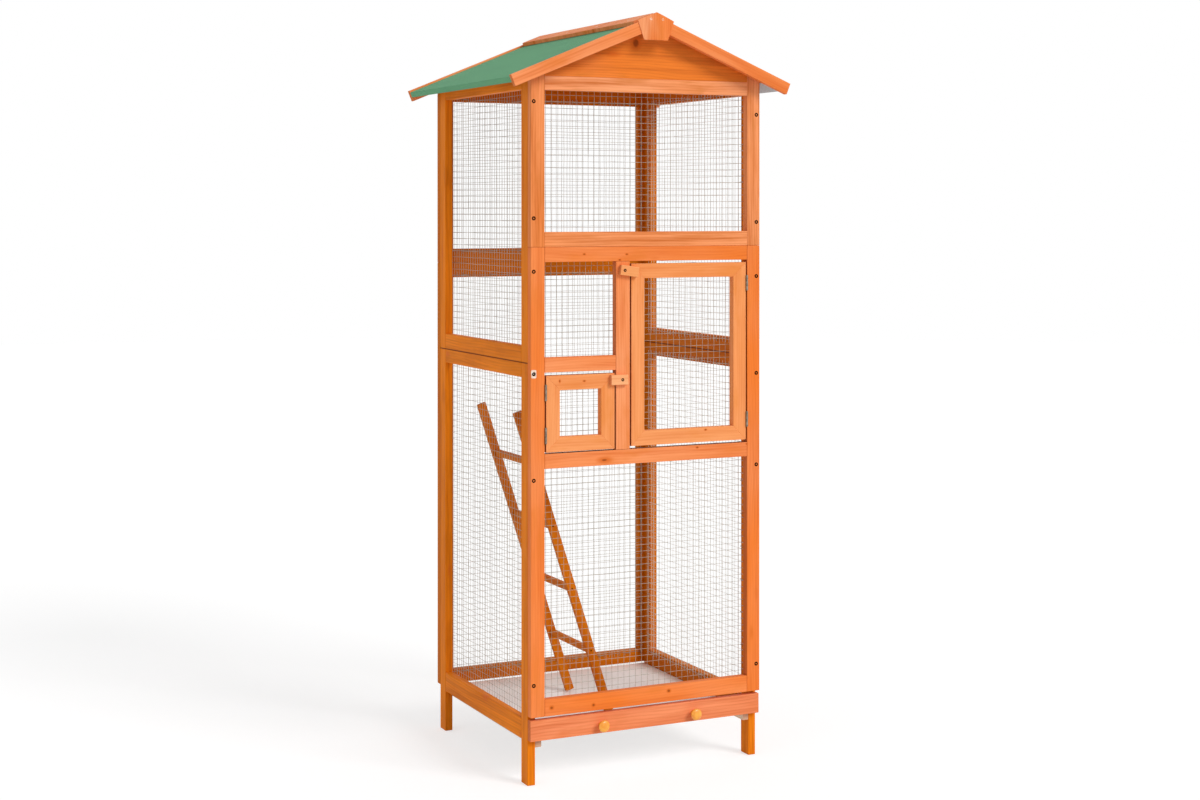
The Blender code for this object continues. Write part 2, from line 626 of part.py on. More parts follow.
def ladder():
    """Two stringers and four rungs, standing on the tray and leaning on the left netting.

    It is drawn upright from its left foot corner and then leant over, towards -X.
    """
    foot_z = TRAY_FLOOR_TOP + GAP
    wall_x = -SIDE_INNER + 2 * GAP + NETTING_DEPTH
    foot_x = wall_x + LADDER_LENGTH * math.sin(LADDER_LEAN)
    lean = Matrix.Rotation(-LADDER_LEAN, 4, "Y")
    turn = Matrix.Translation((foot_x, LADDER_MIDDLE_Y, foot_z)) @ lean
    half = LADDER_SPACING / 2

    def piece(name, low, high):
        made = box(name, low, high, SIDE_PINE)
        made.matrix_world = turn

    for name, y in (("ladder_front_stringer", -half), ("ladder_rear_stringer", half)):
        low = (0.0, y - STRINGER_THICK / 2, 0.0)
        high = (STRINGER_WIDTH, y + STRINGER_THICK / 2, LADDER_LENGTH)
        piece(name, low, high)
    rung_half = half - STRINGER_THICK / 2 - GAP
    rung_x = (STRINGER_WIDTH - RUNG_THICK) / 2
    for k in range(RUNG_COUNT):
        z = FIRST_RUNG + k * RUNG_STEP
        low = (rung_x, -rung_half, z - RUNG_HEIGHT / 2)
        high = (rung_x + RUNG_THICK, rung_half, z + RUNG_HEIGHT / 2)
        piece(f"ladder_rung_{k + 1}", low, high)


def build():
    """Build the whole cage."""
    clear_scene()
    front_lower_frame()
    front_upper_frame()
    front_nets()
    doors()
    turn_buttons()
    side_frames()
    rear_frames()
    roof()
    tray()
    tray_runners()
    ladder()


build()
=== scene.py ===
"""Looks of the wooden bird cage: boards with their grain, wire netting, roofing felt, hinges,
turned knobs, and the screws, nails and staples that hold it together."""

import json
import math
import random

import bmesh
import bpy
from mathutils import Matrix, Vector, noise

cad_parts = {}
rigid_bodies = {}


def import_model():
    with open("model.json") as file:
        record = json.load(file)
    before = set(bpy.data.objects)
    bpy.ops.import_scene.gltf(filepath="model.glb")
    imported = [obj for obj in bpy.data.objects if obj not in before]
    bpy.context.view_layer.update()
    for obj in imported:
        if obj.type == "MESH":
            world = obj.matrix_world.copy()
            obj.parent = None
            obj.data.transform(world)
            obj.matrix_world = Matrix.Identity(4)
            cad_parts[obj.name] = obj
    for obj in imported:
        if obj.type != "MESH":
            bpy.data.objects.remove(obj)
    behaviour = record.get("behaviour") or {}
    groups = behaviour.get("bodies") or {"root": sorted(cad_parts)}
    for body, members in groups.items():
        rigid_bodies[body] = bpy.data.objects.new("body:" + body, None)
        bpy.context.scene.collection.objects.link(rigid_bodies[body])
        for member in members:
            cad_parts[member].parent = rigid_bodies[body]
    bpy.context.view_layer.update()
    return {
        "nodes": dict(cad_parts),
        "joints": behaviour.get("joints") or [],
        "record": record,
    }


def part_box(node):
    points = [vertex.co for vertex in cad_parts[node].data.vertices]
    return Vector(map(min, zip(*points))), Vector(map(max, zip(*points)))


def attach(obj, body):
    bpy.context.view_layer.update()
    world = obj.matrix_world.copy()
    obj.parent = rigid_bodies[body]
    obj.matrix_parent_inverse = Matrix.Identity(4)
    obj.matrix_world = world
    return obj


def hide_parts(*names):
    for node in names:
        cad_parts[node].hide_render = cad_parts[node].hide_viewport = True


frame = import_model()
NODES = frame["nodes"]
RECORD = frame["record"]
BODY_OF = {node: body for body, held in RECORD["behaviour"]["bodies"].items() for node in held}
SLOT_OF = {row["node"]: row["material_slot"] for row in RECORD["subparts"]}
JOINTS = {joint["name"]: joint for joint in frame["joints"]}

# Sizes of the timber and the roof, in metres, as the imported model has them
BODY_WIDTH = 0.560
BODY_DEPTH = 0.550
RAIL = 0.032
REAR_STILE = 0.034
REAR_TOP_RAIL = 0.0355
SIDE_STILE = 0.034
SIDE_BOTTOM = 0.094
SIDE_FOOT_RAIL = 0.044
SIDE_TOP_RAIL = 0.032
SIDE_MIDDLE_RAIL = 0.035
GABLE_RAIL = 0.030
ROOF_PITCH = math.radians(22.2)
WALL_TOP = 1.516
GABLE_FOOT = {"front": 1.481, "rear": 1.483}
EAVE_OVERHANG = 0.060
DECK_THICK = 0.009
FELT_THICK = 0.002
FELT_BELOW_BARGE = 0.004
CAP_THICK = 0.009
CAP_WIDTH = 0.050
BARGE_HEIGHT = 0.026
GAP = 0.0003

# Soft edges
SOFT_EDGE = 0.0009
FRAME_SOFT_EDGE = 0.0014
DECK_SOFT_EDGE = 0.0008
FINE_SOFT_EDGE = 0.0005
BUTTON_SOFT_EDGE = 0.0012

# The ridge plate: half the width of its foot, top and flat middle, and how far back its edges and face lie
PLATE_FOOT_HALF = 0.029
PLATE_TOP_HALF = 0.044
PLATE_FLAT_HALF = 0.017
PLATE_PLANED = 0.0042
PLATE_FACE = 0.0001

# Netting, felt, decks and the tilt of the turn buttons in degrees. TOP, TURN and BACK are the parts of
# a sheet of felt.
NETTING_DEPTH = 0.002
WIRE_DIAMETER = 0.00082
WIRE_PITCH = 0.0142
WIRE_WANDER = 0.0024
FELT_RETURN = 0.046
FELT_LIFT = 0.0007
FELT_ROWS, FELT_COLUMNS = 34, 60
TOP, TURN, BACK = 1, 0, 2
DECK_PLANKS = 5
BUTTON_TILT = {"large_door": 8.0, "small_door": 0.0}

# Fasteners: profiles of the heads as (radius, height), and where they sit. Nails in the barge boards are
# (x, height over the boards' top line), the plate's are (x, depth under the ridge).
SCREW_HEAD = ((0.0, -0.0005), (0.0009, -0.00042), (0.0015, 0.00018), (0.0029, 0.0003), (0.0037, 0.00012))
SCREW_HEAD += ((0.0038, -0.0012),)
NAIL_HEAD = ((0.0, 0.00010), (0.0010, 0.00008), (0.0018, 0.00016), (0.0021, 0.00004), (0.0021, -0.0010))
STAPLE_WIRE = 0.00045
STAPLE_HALF = 0.0048
STAPLE_INSET = 0.006
STAPLE_SPACING = 0.075
SCREWS_FRONT = (
    (-0.2735, (1.456, 1.208, 1.095, 0.652, 0.217)),
    (0.2715, (1.439, 1.199, 1.078, 0.861, 0.656, 0.209)),
)
SCREWS_REAR_X = 0.2725
SCREWS_REAR = (1.447, 1.203, 1.086, 0.866, 0.654, 0.213)
BARGE_NAILS = ((-0.289, -0.021), (-0.263, -0.008), (-0.124, -0.009), (0.100, -0.009), (0.284, -0.009))
REAR_BARGE_NAILS = ((-0.27, -0.012), (-0.12, -0.012), (0.12, -0.012), (0.27, -0.012))
PLATE_NAIL = (0.0145, 0.0095)
CAP_NAIL_ALONG = 0.032
CAP_NAILS_Y = (-0.24, -0.08, 0.08, 0.24)
NAIL_SUNK = 0.00025

# A turned knob as (radius, height) from the board outwards
KNOB = ((0.0, 0.0), (0.0070, 0.0), (0.0066, 0.0030), (0.0062, 0.0062), (0.0072, 0.0086), (0.0098, 0.0104))
KNOB += ((0.0122, 0.0124), (0.0129, 0.0142), (0.0122, 0.016), (0.01, 0.0175), (0.0062, 0.0186), (0.0, 0.0189))

# The small pale plate: its middle, half width, half height and corner, and its screw hole
KEEPER_PLACE = (-0.2738, 0.878)
KEEPER_HALF_WIDTH = 0.0058
KEEPER_HALF_HEIGHT = 0.0088
KEEPER_CORNER = 0.0022
KEEPER_HOLE = ((0.0024, 0.0010), (0.0015, 0.0003))

# The photograph's light: a bright surround and a soft key from the front, above and to the left
WORLD_LIGHT = 0.50
FLOOR_SHADE = 0.50
FLOOR_GLOW = 0.60
SUNS = (
    ("key_light", (-0.42, 0.80, -0.62), 1.75, 24),
    ("side_fill", (0.95, 0.25, -0.25), 0.30, 40),
)

# The photograph's camera: a long lens at chest height, its frame moved down by a shift
CAMERA_PLACE = (-1.91608, -3.98056, 1.22368)
CAMERA_TURN = 25.4965
CAMERA_DIP = 0.2517
CAMERA_LENS = 57.4194
CAMERA_SHIFT = (0.01093, -0.15052)

HALF_W = BODY_WIDTH / 2
HALF_D = BODY_DEPTH / 2
FRONT_Y = -HALF_D
SLOPE = math.tan(ROOF_PITCH)
TO_VERTICAL = 1 / math.cos(ROOF_PITCH)
DECK_TOP = -(FELT_BELOW_BARGE + FELT_THICK + GAP)
DECK_UNDER = DECK_TOP - DECK_THICK
CAP_TOP = DECK_TOP + 2 * GAP + FELT_THICK + CAP_THICK
RIDGE = WALL_TOP + SLOPE * HALF_W - (DECK_UNDER - GAP) * TO_VERTICAL
SLOPE_LENGTH = (HALF_W + EAVE_OVERHANG) * TO_VERTICAL
X, Y, Z = Vector((1, 0, 0)), Vector((0, 1, 0)), Vector((0, 0, 1))
OUTWARD = {"front": -Y, "large": -Y, "small": -Y, "rear": Y, "left": -X, "right": X}
SIDES = (("left", -1), ("right", 1))
NETS = sorted(node for node in NODES if node.endswith("_mesh"))


def tint(red, green, blue):
    """A colour as a screen shows it, each part from 0 to 255, made linear."""
    parts = (red / 255, green / 255, blue / 255)
    return tuple(c / 12.92 if c <= 0.04045 else ((c + 0.055) / 1.055) ** 2.4 for c in parts)


class Value:
    """An output of a node; a sum that uses it adds the Math nodes."""

    def __init__(self, network, socket):
        self.network = network
        self.socket = socket

    def other(self, name):
        """Another output of the same node."""
        return Value(self.network, self.socket.node.outputs[name])

    def calculate(self, operation, *terms):
        return self.network.node("ShaderNodeMath", {"operation": operation}, dict(enumerate(terms)))

    def __add__(self, other):
        return self.calculate("ADD", self, other)

    def __sub__(self, other):
        return self.calculate("SUBTRACT", self, other)

    def __rsub__(self, other):
        return self.calculate("SUBTRACT", other, self)

    def __mul__(self, other):
        return self.calculate("MULTIPLY", self, other)

    def __truediv__(self, other):
        return self.calculate("DIVIDE", self, other)

    def __pow__(self, other):
        return self.calculate("POWER", self, other)

    def wave(self):
        """A sine of this value, brought to the range from 0 to 1."""
        return self.calculate("SINE", self) * 0.5 + 0.5

    def ramp(self, start, end):
        """0 before start, 1 after end, and a smooth step between."""
        values = {"Value": self, "From Min": start, "From Max": end}
        return self.network.node("ShaderNodeMapRange", {"interpolation_type": "SMOOTHSTEP"}, values)


class Network:
    """A tree of nodes that is put together node by node."""

    def __init__(self, tree):
        self.tree = tree

    def node(self, kind, settings=None, values=None, out=0):
        """Add a node, with its settings first and then its sockets, and return one output."""
        made = self.tree.nodes.new(kind)
        for key, value in (settings or {}).items():
            setattr(made, key, value)
        for key, value in (values or {}).items():
            self.feed(made.inputs[key], value)
        return Value(self, made.outputs[out])

    def feed(self, socket, value):
        """Link a value to a socket, or set the socket to a number, word or colour."""
        if isinstance(value, Value):
            self.tree.links.new(value.socket, socket)
        elif socket.type == "RGBA":
            socket.default_value = (*value, 1.0)
        else:
            socket.default_value = value

    def vector(self, x=0.0, y=0.0, z=0.0):
        return self.node("ShaderNodeCombineXYZ", None, {0: x, 1: y, 2: z})


class Finish(Network):
    """A material that is put together round its Principled shader."""

    def __init__(self, name, **constants):
        self.material = bpy.data.materials.new(name)
        self.material.use_nodes = True
        super().__init__(self.material.node_tree)
        self.shader = self.tree.nodes["Principled BSDF"]
        for socket, value in constants.items():
            self.shader.inputs[socket.replace("_", " ")].default_value = value

    def attribute(self, name, out):
        return self.node("ShaderNodeAttribute", {"attribute_name": name}, out=out)

    def place(self):
        """Object coordinates: a place on the cage in metres."""
        return self.node("ShaderNodeTexCoord", out="Object")

    def parts(self, vector):
        first = self.node("ShaderNodeSeparateXYZ", None, {0: vector})
        return first, first.other("Y"), first.other("Z")

    def noise(self, vector, scale=1.0, detail=2.0, rough=0.5):
        values = {"Vector": vector, "Scale": scale, "Detail": detail, "Roughness": rough}
        return self.node("ShaderNodeTexNoise", None, values, "Fac")

    def cells(self, vector, scale=1.0):
        """The distance from the middle of the nearest cell."""
        return self.node("ShaderNodeTexVoronoi", None, {"Vector": vector, "Scale": scale}, "Distance")

    def mix(self, factor, first, second):
        settings = {"data_type": "RGBA", "blend_type": "MIX", "clamp_factor": True}
        return self.node("ShaderNodeMix", settings, {0: factor, 6: first, 7: second}, 2)

    def bump(self, height, strength, distance):
        values = {"Height": height, "Strength": strength, "Distance": distance}
        return self.node("ShaderNodeBump", None, values)

    def finish(self, **links):
        """Feed the shader's sockets and hand over the material."""
        for socket, value in links.items():
            self.feed(self.shader.inputs[socket.replace("_", " ")], value)
        return self.material


# Colours of the marks in the timber, the last of them painted shade for faces that lie in a gap
KNOT_HALO = tint(218, 104, 32)
KNOT_HEART = tint(128, 58, 20)
SAWN_END = tint(168, 84, 34)
GAP_PAINTED_SHADE = tint(112, 48, 14)


def pine(name, colours, knots=0.72, spots=(), contrast=1.0):
    """Stained pine whose grain runs along each board.

    colours are light, deep, streak and patch. Each board carries its own coordinates, (along, across,
    deep) in metres, a tone from 0 (light) to 1 (deep), whose deep end on boards inside the cage is
    painted shade, marks on its sawn ends, and painted shade on the faces that lie in a gap. Fewer cells
    hold a knot as knots nears 1, and none holds one beyond it. spots are knots at fixed places on the
    front: (x, z, half width, half height).
    """
    light, deep, streak, patch = (tint(*colour) for colour in colours)
    wood = Finish(name, Specular_IOR_Level=0.05)
    along, across, inward = wood.parts(wood.attribute("grain", "Vector"))
    tone, sawn, gap = (wood.attribute(mark, "Fac") for mark in ("tone", "sawn", "gap"))

    def stretched(lengthways, crosswise):
        return wood.vector(along * lengthways, across * crosswise, inward * crosswise)

    ring = across + inward * 0.7 + wood.noise(stretched(2.6, 8.0)) * 0.034
    late_wood = (ring * 980.0).wave() ** 2.6
    fibre = wood.noise(stretched(16.0, 620.0), 1.0, 3.0, 0.6)
    streaks = wood.noise(stretched(3.2, 70.0), 1.0, 3.0, 0.55)
    patches = wood.noise(stretched(9.0, 26.0), 1.0, 3.0, 0.55)
    soaked = wood.noise(stretched(4.0, 12.0))
    shade = late_wood * 0.17 + streaks.ramp(0.36, 0.76) * 0.46 + fibre.ramp(0.35, 0.8) * 0.20
    colour = wood.mix(tone + (soaked - 0.5) * 1.1, light, deep)
    colour = wood.mix(shade * contrast, colour, streak)
    colour = wood.mix(patches.ramp(0.50, 0.74) * 0.46, colour, patch)
    near = wood.cells(stretched(9.0, 24.0))
    chosen = wood.node("ShaderNodeSeparateColor", None, {0: near.other("Color")}).ramp(knots, knots + 0.02)
    halo = (1.0 - near.ramp(0.07, 0.24)) * chosen
    heart = (1.0 - near.ramp(0.03, 0.075)) * chosen
    if spots:
        x, _, z = wood.parts(wood.place())
        for spot_x, spot_z, half_width, half_height in spots:
            off_x = (x - spot_x) * (1 / half_width)
            off_z = (z - spot_z) * (1 / half_height)
            away = (off_x * off_x + off_z * off_z) ** 0.5 + (fibre - 0.5) * 0.5
            halo = halo.calculate("MAXIMUM", halo, 1.0 - away.ramp(0.9, 2.4))
            heart = heart.calculate("MAXIMUM", heart, 1.0 - away.ramp(0.55, 1.15))
    # Knots and sawn ends are the wood's own marks; the last mark is painted shade on faces in a gap
    marks = ((halo, 0.75, KNOT_HALO), (heart, 0.7, KNOT_HEART), (sawn, 0.42, SAWN_END), (gap, 0.72, GAP_PAINTED_SHADE))
    for mark, strength, stain in marks:
        colour = wood.mix(mark * strength, colour, stain)
    height = late_wood * -0.5 + fibre * 0.7 - heart * 0.6
    rough = fibre * 0.20 + 0.40 + sawn * 0.2
    return wood.finish(Base_Color=colour, Roughness=rough, Normal=wood.bump(height, 0.30, 0.0004))


def galvanised_wire(name, dark, light, patch):
    """Dull zinc with a slightly uneven coat."""
    zinc = Finish(name, Metallic=0.15, Specular_IOR_Level=0.25)
    place = zinc.place()
    coat = zinc.noise(place, 900.0)
    patches = zinc.noise(place, 14.0)
    colour = zinc.mix(coat.ramp(0.35, 0.7), tint(*dark), tint(*light))
    colour = zinc.mix(patches.ramp(0.45, 0.75) * 0.4, colour, tint(*patch))
    return zinc.finish(Base_Color=colour, Roughness=coat * 0.25 + 0.34)


def plated_steel(name, light, dark, metallic=0.85, rough=0.32, gloss=0.5):
    """Plated steel, a little cloudy, for hinges, screws and nails."""
    steel = Finish(name, Metallic=metallic, Specular_IOR_Level=gloss)
    place = steel.place()
    cloud = steel.noise(place, 160.0, 3.0)
    scratches = steel.noise(place, 1400.0)
    colour = steel.mix(cloud.ramp(0.35, 0.70), tint(*light), tint(*dark))
    normal = steel.bump(scratches * 0.6 + cloud * 0.4, 0.2, 0.0001)
    return steel.finish(Base_Color=colour, Roughness=cloud * 0.22 + rough, Normal=normal)


def roofing_felt():
    """Green mineral felt with a pale grey back."""
    felt = Finish("green_felt", Specular_IOR_Level=0.25)
    place = felt.place()
    x, y, z = felt.parts(place)
    grit = felt.noise(place, 1500.0, 2.0, 0.7)
    weather = felt.noise(felt.vector(x * 5.0, y * 1.6, z * 5.0), 3.0, 3.0)
    green = felt.mix(grit.ramp(0.32, 0.68), tint(78, 142, 103), tint(124, 182, 139))
    green = felt.mix(weather.ramp(0.4, 0.75) * 0.35, green, tint(92, 146, 113))
    grey = felt.mix(grit.ramp(0.3, 0.7), tint(176, 186, 192), tint(214, 220, 224))
    colour = felt.mix(felt.attribute("back", "Fac"), green, grey)
    normal = felt.bump(felt.cells(place, 950.0) * -0.7 + grit * 0.5, 0.45, 0.0007)
    return felt.finish(Base_Color=colour, Roughness=grit * 0.12 + 0.84, Normal=normal)


def faced_board():
    """White faced board, with a faint warm cloud."""
    board = Finish("white_board", Specular_IOR_Level=0.4)
    place = board.place()
    cloud = board.noise(place, 9.0, 3.0)
    pores = board.noise(place, 420.0)
    colour = board.mix(cloud.ramp(0.35, 0.7), tint(252, 248, 246), tint(245, 238, 234))
    normal = board.bump(pores, 0.12, 0.0002)
    return board.finish(Base_Color=colour, Roughness=pores * 0.15 + 0.38, Normal=normal)


def turned_knob_wood():
    """Clear varnished yellow wood with the fine rings that turning leaves."""
    wood = Finish("yellow_knob", Coat_Weight=0.35, Coat_Roughness=0.2)
    x, y, z = wood.parts(wood.place())
    figure = wood.noise(wood.vector(x * 60.0, y * 260.0, z * 60.0), 1.0, 3.0)
    rings = (y * 5200.0 + figure * 3.0).wave()
    colour = wood.mix(figure.ramp(0.35, 0.7), tint(252, 176, 58), tint(238, 148, 34))
    normal = wood.bump(rings * 0.5 + figure * 0.5, 0.15, 0.0002)
    return wood.finish(Base_Color=colour, Roughness=figure * 0.15 + 0.28, Normal=normal)


# Knots at fixed places on the front
GABLE_KNOT = ((-0.031, 1.588, 0.0075, 0.0095),)
RAIL_KNOTS = (
    (-0.053, 1.130, 0.0026, 0.0016), (-0.070, 1.118, 0.0026, 0.0016), (-0.155, 1.131, 0.0026, 0.0016),
    (0.121, 0.702, 0.0026, 0.0016), (0.248, 0.703, 0.0026, 0.0016),
)
DOOR_KNOTS = (
    (-0.063, 0.893, 0.0016, 0.0026), (-0.213, 0.861, 0.0016, 0.0026),
    (-0.155, 0.859, 0.0026, 0.0016), (0.142, 0.740, 0.0026, 0.0016),
)
FOOT_RAIL_KNOTS = (
    (-0.232, 0.166, 0.0035, 0.003), (-0.133, 0.161, 0.003, 0.003), (0.050, 0.172, 0.0035, 0.003),
)

# Stains, each as light, deep, streak and patch. SHADED is a darker, more saturated copy of the front stain as
# painted shade for the sides in shade, and its deep end is painted shade for the boards inside the cage.
FRONT = ((253, 168, 116), (244, 128, 50), (214, 100, 40), (226, 122, 44))
SHADED = ((252, 141, 24), (204, 112, 10), (184, 84, 8), (196, 98, 10))
GABLE = ((255, 170, 118), (244, 132, 48), (198, 100, 36), (206, 116, 42))
RAW = ((240, 218, 194), (228, 198, 168), (206, 170, 136), (214, 182, 150))
PALE = ((255, 190, 138), (248, 168, 108), (230, 136, 78), (238, 156, 88))
TRAY = ((252, 160, 114), (240, 134, 80), (206, 100, 54), (222, 118, 62))
DOOR = ((250, 166, 106), (240, 140, 66), (216, 108, 44), (230, 134, 54))

GABLE_PINE = pine("gable_pine", GABLE, spots=GABLE_KNOT, contrast=1.3)
SILL_PINE = pine("sill_pine", FRONT, spots=RAIL_KNOTS)
DOOR_PINE = pine("door_pine", DOOR, knots=0.85, spots=DOOR_KNOTS, contrast=0.8)
RAW_PINE = pine("raw_pine", RAW, knots=1.2)
WIRE = galvanised_wire("galvanised_wire", (164, 155, 140), (194, 186, 172), (146, 138, 124))
# A lighter copy of the wire, painted light for the nets of the right wall
LIT_WIRE_PAINTED = galvanised_wire("bright_wire", (214, 208, 200), (236, 231, 224), (198, 192, 182))
HINGE_ZINC = plated_steel("hinge_steel", (154, 148, 136), (116, 110, 98))
BLACK_SCREW = plated_steel("black_screw", (9, 6, 5), (4, 3, 2), 0.0, 0.90, 0.0)
BRIGHT_NAIL = plated_steel("bright_nail", (250, 232, 216), (222, 182, 154), 0.1, 0.35)
FINISH_OF_SLOT = {
    "stained_pine": pine("stained_pine", FRONT),
    "shaded_pine": pine("shaded_pine", SHADED),
    "pale_pine": pine("pale_pine", PALE, knots=1.2),
    "tray_pine": pine("tray_pine", TRAY, knots=1.2, contrast=1.25),
    "galvanised_wire": WIRE,
    "green_felt": roofing_felt(),
    "white_board": faced_board(),
    "yellow_knob": turned_knob_wood(),
}
FINISH_OF_NODE = {
    "front_lower_bottom_rail": pine("foot_rail_pine", FRONT, spots=FOOT_RAIL_KNOTS),
    "front_sill_rail": SILL_PINE,
    "front_lower_top_rail": SILL_PINE,
    "front_upper_frame": GABLE_PINE,
    "large_door_frame": DOOR_PINE,
    "small_door_frame": DOOR_PINE,
    "left_tray_runner": RAW_PINE,
    "right_tray_runner": RAW_PINE,
    # The right wall's nets get the lighter wire as painted light
    "right_lower_mesh": LIT_WIRE_PAINTED,
    "right_upper_mesh": LIT_WIRE_PAINTED,
}


def finish_of(node):
    return FINISH_OF_NODE.get(node) or FINISH_OF_SLOT[SLOT_OF[node]]


def add_object(name, data):
    made = bpy.data.objects.new(name, data)
    bpy.context.scene.collection.objects.link(made)
    return made


def add_piece(name, mesh, material):
    mesh.materials.clear()
    mesh.materials.append(material)
    return add_object(name, mesh)


def stand_for(node, name, mesh):
    """Add a piece that rides with a node's body, stands for that node and takes its slot and finish."""
    piece = add_piece(name, mesh, finish_of(node))
    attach(piece, BODY_OF[node])
    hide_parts(node)


def add_extra(name, mesh, material, body):
    """Add a piece that the CAD doesn't have, on one body."""
    piece = add_piece(name, mesh, material)
    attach(piece, body)


def bevel(bm, edges, width):
    bmesh.ops.bevel(bm, geom=edges, offset=width, segments=2, profile=0.5, affect="EDGES", clamp_overlap=True)
    bm.normal_update()


def skin(bm, first, second):
    """Faces between two rings of vertices, of which one may be a single vertex."""
    one, two = len(first), len(second)
    for k in range(max(one, two)):
        n = (k + 1) % max(one, two)
        corners = list(dict.fromkeys((first[k % one], first[n % one], second[n % two], second[k % two])))
        if len(corners) > 2:
            bm.faces.new(corners)


def to_mesh(bm, name):
    """Turn the faces outwards and hand over the mesh."""
    bmesh.ops.recalc_face_normals(bm, faces=bm.faces)
    mesh = bpy.data.meshes.new(name)
    bm.to_mesh(mesh)
    bm.free()
    return mesh


def turned(profile, segments, name):
    """A mesh turned about Z from (radius, height) pairs, closed where the radius is nought."""
    bm = bmesh.new()
    angles = [2 * math.pi * k / segments for k in range(segments)]
    rings = []
    for radius, height in profile:
        round_it = angles if radius else [0.0]
        rings.append([bm.verts.new((radius * math.cos(a), radius * math.sin(a), height)) for a in round_it])
    for first, second in zip(rings, rings[1:]):
        skin(bm, first, second)
    return to_mesh(bm, name)


def set_attribute(mesh, name, domain, values, kind="FLOAT"):
    """Give a mesh one attribute; the parts of vectors come in one row."""
    made = mesh.attributes.new(name, kind, domain)
    made.data.foreach_set("value" if kind == "FLOAT" else "vector", values)


class Boards:
    """The boards of the piece that stands for one node, each with its own grain, tone and sawn ends."""

    def __init__(self, node, ending="_timber"):
        self.node = node
        self.name = node + ending
        self.low, self.high = self.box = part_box(node)
        self.deep = Vector((0, self.high.y - self.low.y, 0))
        self.chance = random.Random(self.name)
        self.points, self.faces, self.grain, self.tone, self.sawn, self.gap = [], [], [], [], [], []

    def take(self, bm, ways, shift, tone_at, along=None, gap_shade_of=None):
        """Take over a mesh, with its grain along the three ways, and sawn where it faces along."""
        first = len(self.points)
        for k, vert in enumerate(bm.verts):
            vert.index = k
            self.points.append(vert.co.copy())
            self.grain.append([way.dot(vert.co) + off for way, off in zip(ways, shift)])
            self.tone.append(tone_at(vert.co))
        for face in bm.faces:
            self.faces.append([first + vert.index for vert in face.verts])
            self.sawn.append(1.0 if along and abs(face.normal.dot(along)) > 0.75 else 0.0)
            # How much painted shade a face gets for lying in a gap
            self.gap.append(gap_shade_of(face.calc_center_median(), face.normal) if gap_shade_of else 0.0)
        bm.free()

    def plank(self, outline, thickness, along, tone=None, soften=SOFT_EDGE, gap_shade_of=None):
        """Add a board: the outline of one broad face, the way through it and the way of its grain.

        The last argument tells from a face's middle and its normal how deep it lies in a gap, 0 to 1; that
        much painted shade goes on its colour.
        """
        bm = bmesh.new()
        near = [bm.verts.new(point) for point in outline]
        far = [bm.verts.new(Vector(point) + thickness) for point in outline]
        bm.faces.new(near)
        bm.faces.new(list(reversed(far)))
        for k in range(len(outline)):
            n = (k + 1) % len(outline)
            bm.faces.new((near[n], near[k], far[k], far[n]))
        bmesh.ops.recalc_face_normals(bm, faces=bm.faces)
        bevel(bm, list(bm.edges), soften)
        along = along.normalized()
        deep = thickness.normalized()
        shift = [self.chance.uniform(1, 30) for _ in range(3)]
        if tone is None:
            tone = self.chance.uniform(0.1, 0.9)
        self.take(bm, (along, along.cross(deep), deep), shift, lambda at: tone, along, gap_shade_of)

    def bar(self, low, high, along, tone=None, soften=SOFT_EDGE, gap_shade_of=None):
        """Add a straight bar between two corners, with its grain along one axis."""
        size = [high[k] - low[k] for k in range(3)]
        a = (X, Y, Z).index(along)
        deep = min((k for k in range(3) if k != a), key=lambda k: size[k])
        across = 3 - a - deep
        outline = []
        for far_a, far_c in ((0, 0), (1, 0), (1, 1), (0, 1)):
            point = list(low)
            point[a] += far_a * size[a]
            point[across] += far_c * size[across]
            outline.append(point)
        thickness = Vector((0, 0, 0))
        thickness[deep] = size[deep]
        self.plank(outline, thickness, along, tone, soften, gap_shade_of)

    def slab(self, corners, along, tone, soften=SOFT_EDGE, gap_shade_of=None):
        """Add a board from its corners on the front, (x, z), as deep as the whole piece."""
        self.plank([(x, self.low.y, z) for x, z in corners], self.deep, along, tone, soften, gap_shade_of)

    def build(self, placed=None):
        """Make the mesh with its attributes, put it in place and let it stand for the node."""
        mesh = bpy.data.meshes.new(self.name)
        mesh.from_pydata(self.points, [], self.faces)
        set_attribute(mesh, "grain", "POINT", [part for row in self.grain for part in row], "FLOAT_VECTOR")
        set_attribute(mesh, "tone", "POINT", self.tone)
        set_attribute(mesh, "sawn", "FACE", self.sawn)
        set_attribute(mesh, "gap", "FACE", self.gap)
        if placed is not None:
            mesh.transform(placed)
        stand_for(self.node, self.name, mesh)


def slope_point(sign, along, offset, y=0.0):
    """A point this far down the slope from the ridge and this far off the barges' top line."""
    x = along * math.cos(ROOF_PITCH) + offset * math.sin(ROOF_PITCH)
    z = RIDGE - along * math.sin(ROOF_PITCH) + offset * math.cos(ROOF_PITCH)
    return Vector((sign * x, y, z))


def slope_z(x, offset):
    return RIDGE - SLOPE * abs(x) + offset * TO_VERTICAL


def under_deck(x):
    return slope_z(x, DECK_UNDER - GAP)


def ridge_point(sign, offset, y=0.0):
    return Vector((sign * GAP / 2, y, slope_z(GAP / 2, offset)))


# Bars of one length of timber: the way of the grain, the tone, the face that gets painted shade from a gap
# beside it and how much
SINGLE_BARS = {
    "front_lower_left_stile": (Z, 0.80, Z, 0.0),
    "front_lower_right_stile": (Z, 0.78, -X, 0.45),
    "front_door_post": (Z, 0.35, -X, 0.45),
    "front_lower_top_rail": (X, 0.72, Z, 0.0),
    "front_window_rail": (X, 0.35, Z, 0.0),
    "front_sill_rail": (X, 0.42, Z, 1.0),
    "front_lower_bottom_rail": (X, 0.85, Z, 0.0),
    "left_tray_runner": (Y, 0.6, Z, 0.0),
    "right_tray_runner": (Y, 0.4, Z, 0.0),
    "tray_front_board": (X, 0.5, Z, 0.0),
}


def single_bars():
    """Pieces that are one straight bar each."""
    for node, (along, tone, facing, dark) in SINGLE_BARS.items():
        boards = Boards(node)
        # Painted shade on the face that looks into a gap
        boards.bar(*boards.box, along, tone, gap_shade_of=lambda at, way: dark * (way.dot(facing) > 0.9))
        boards.build()


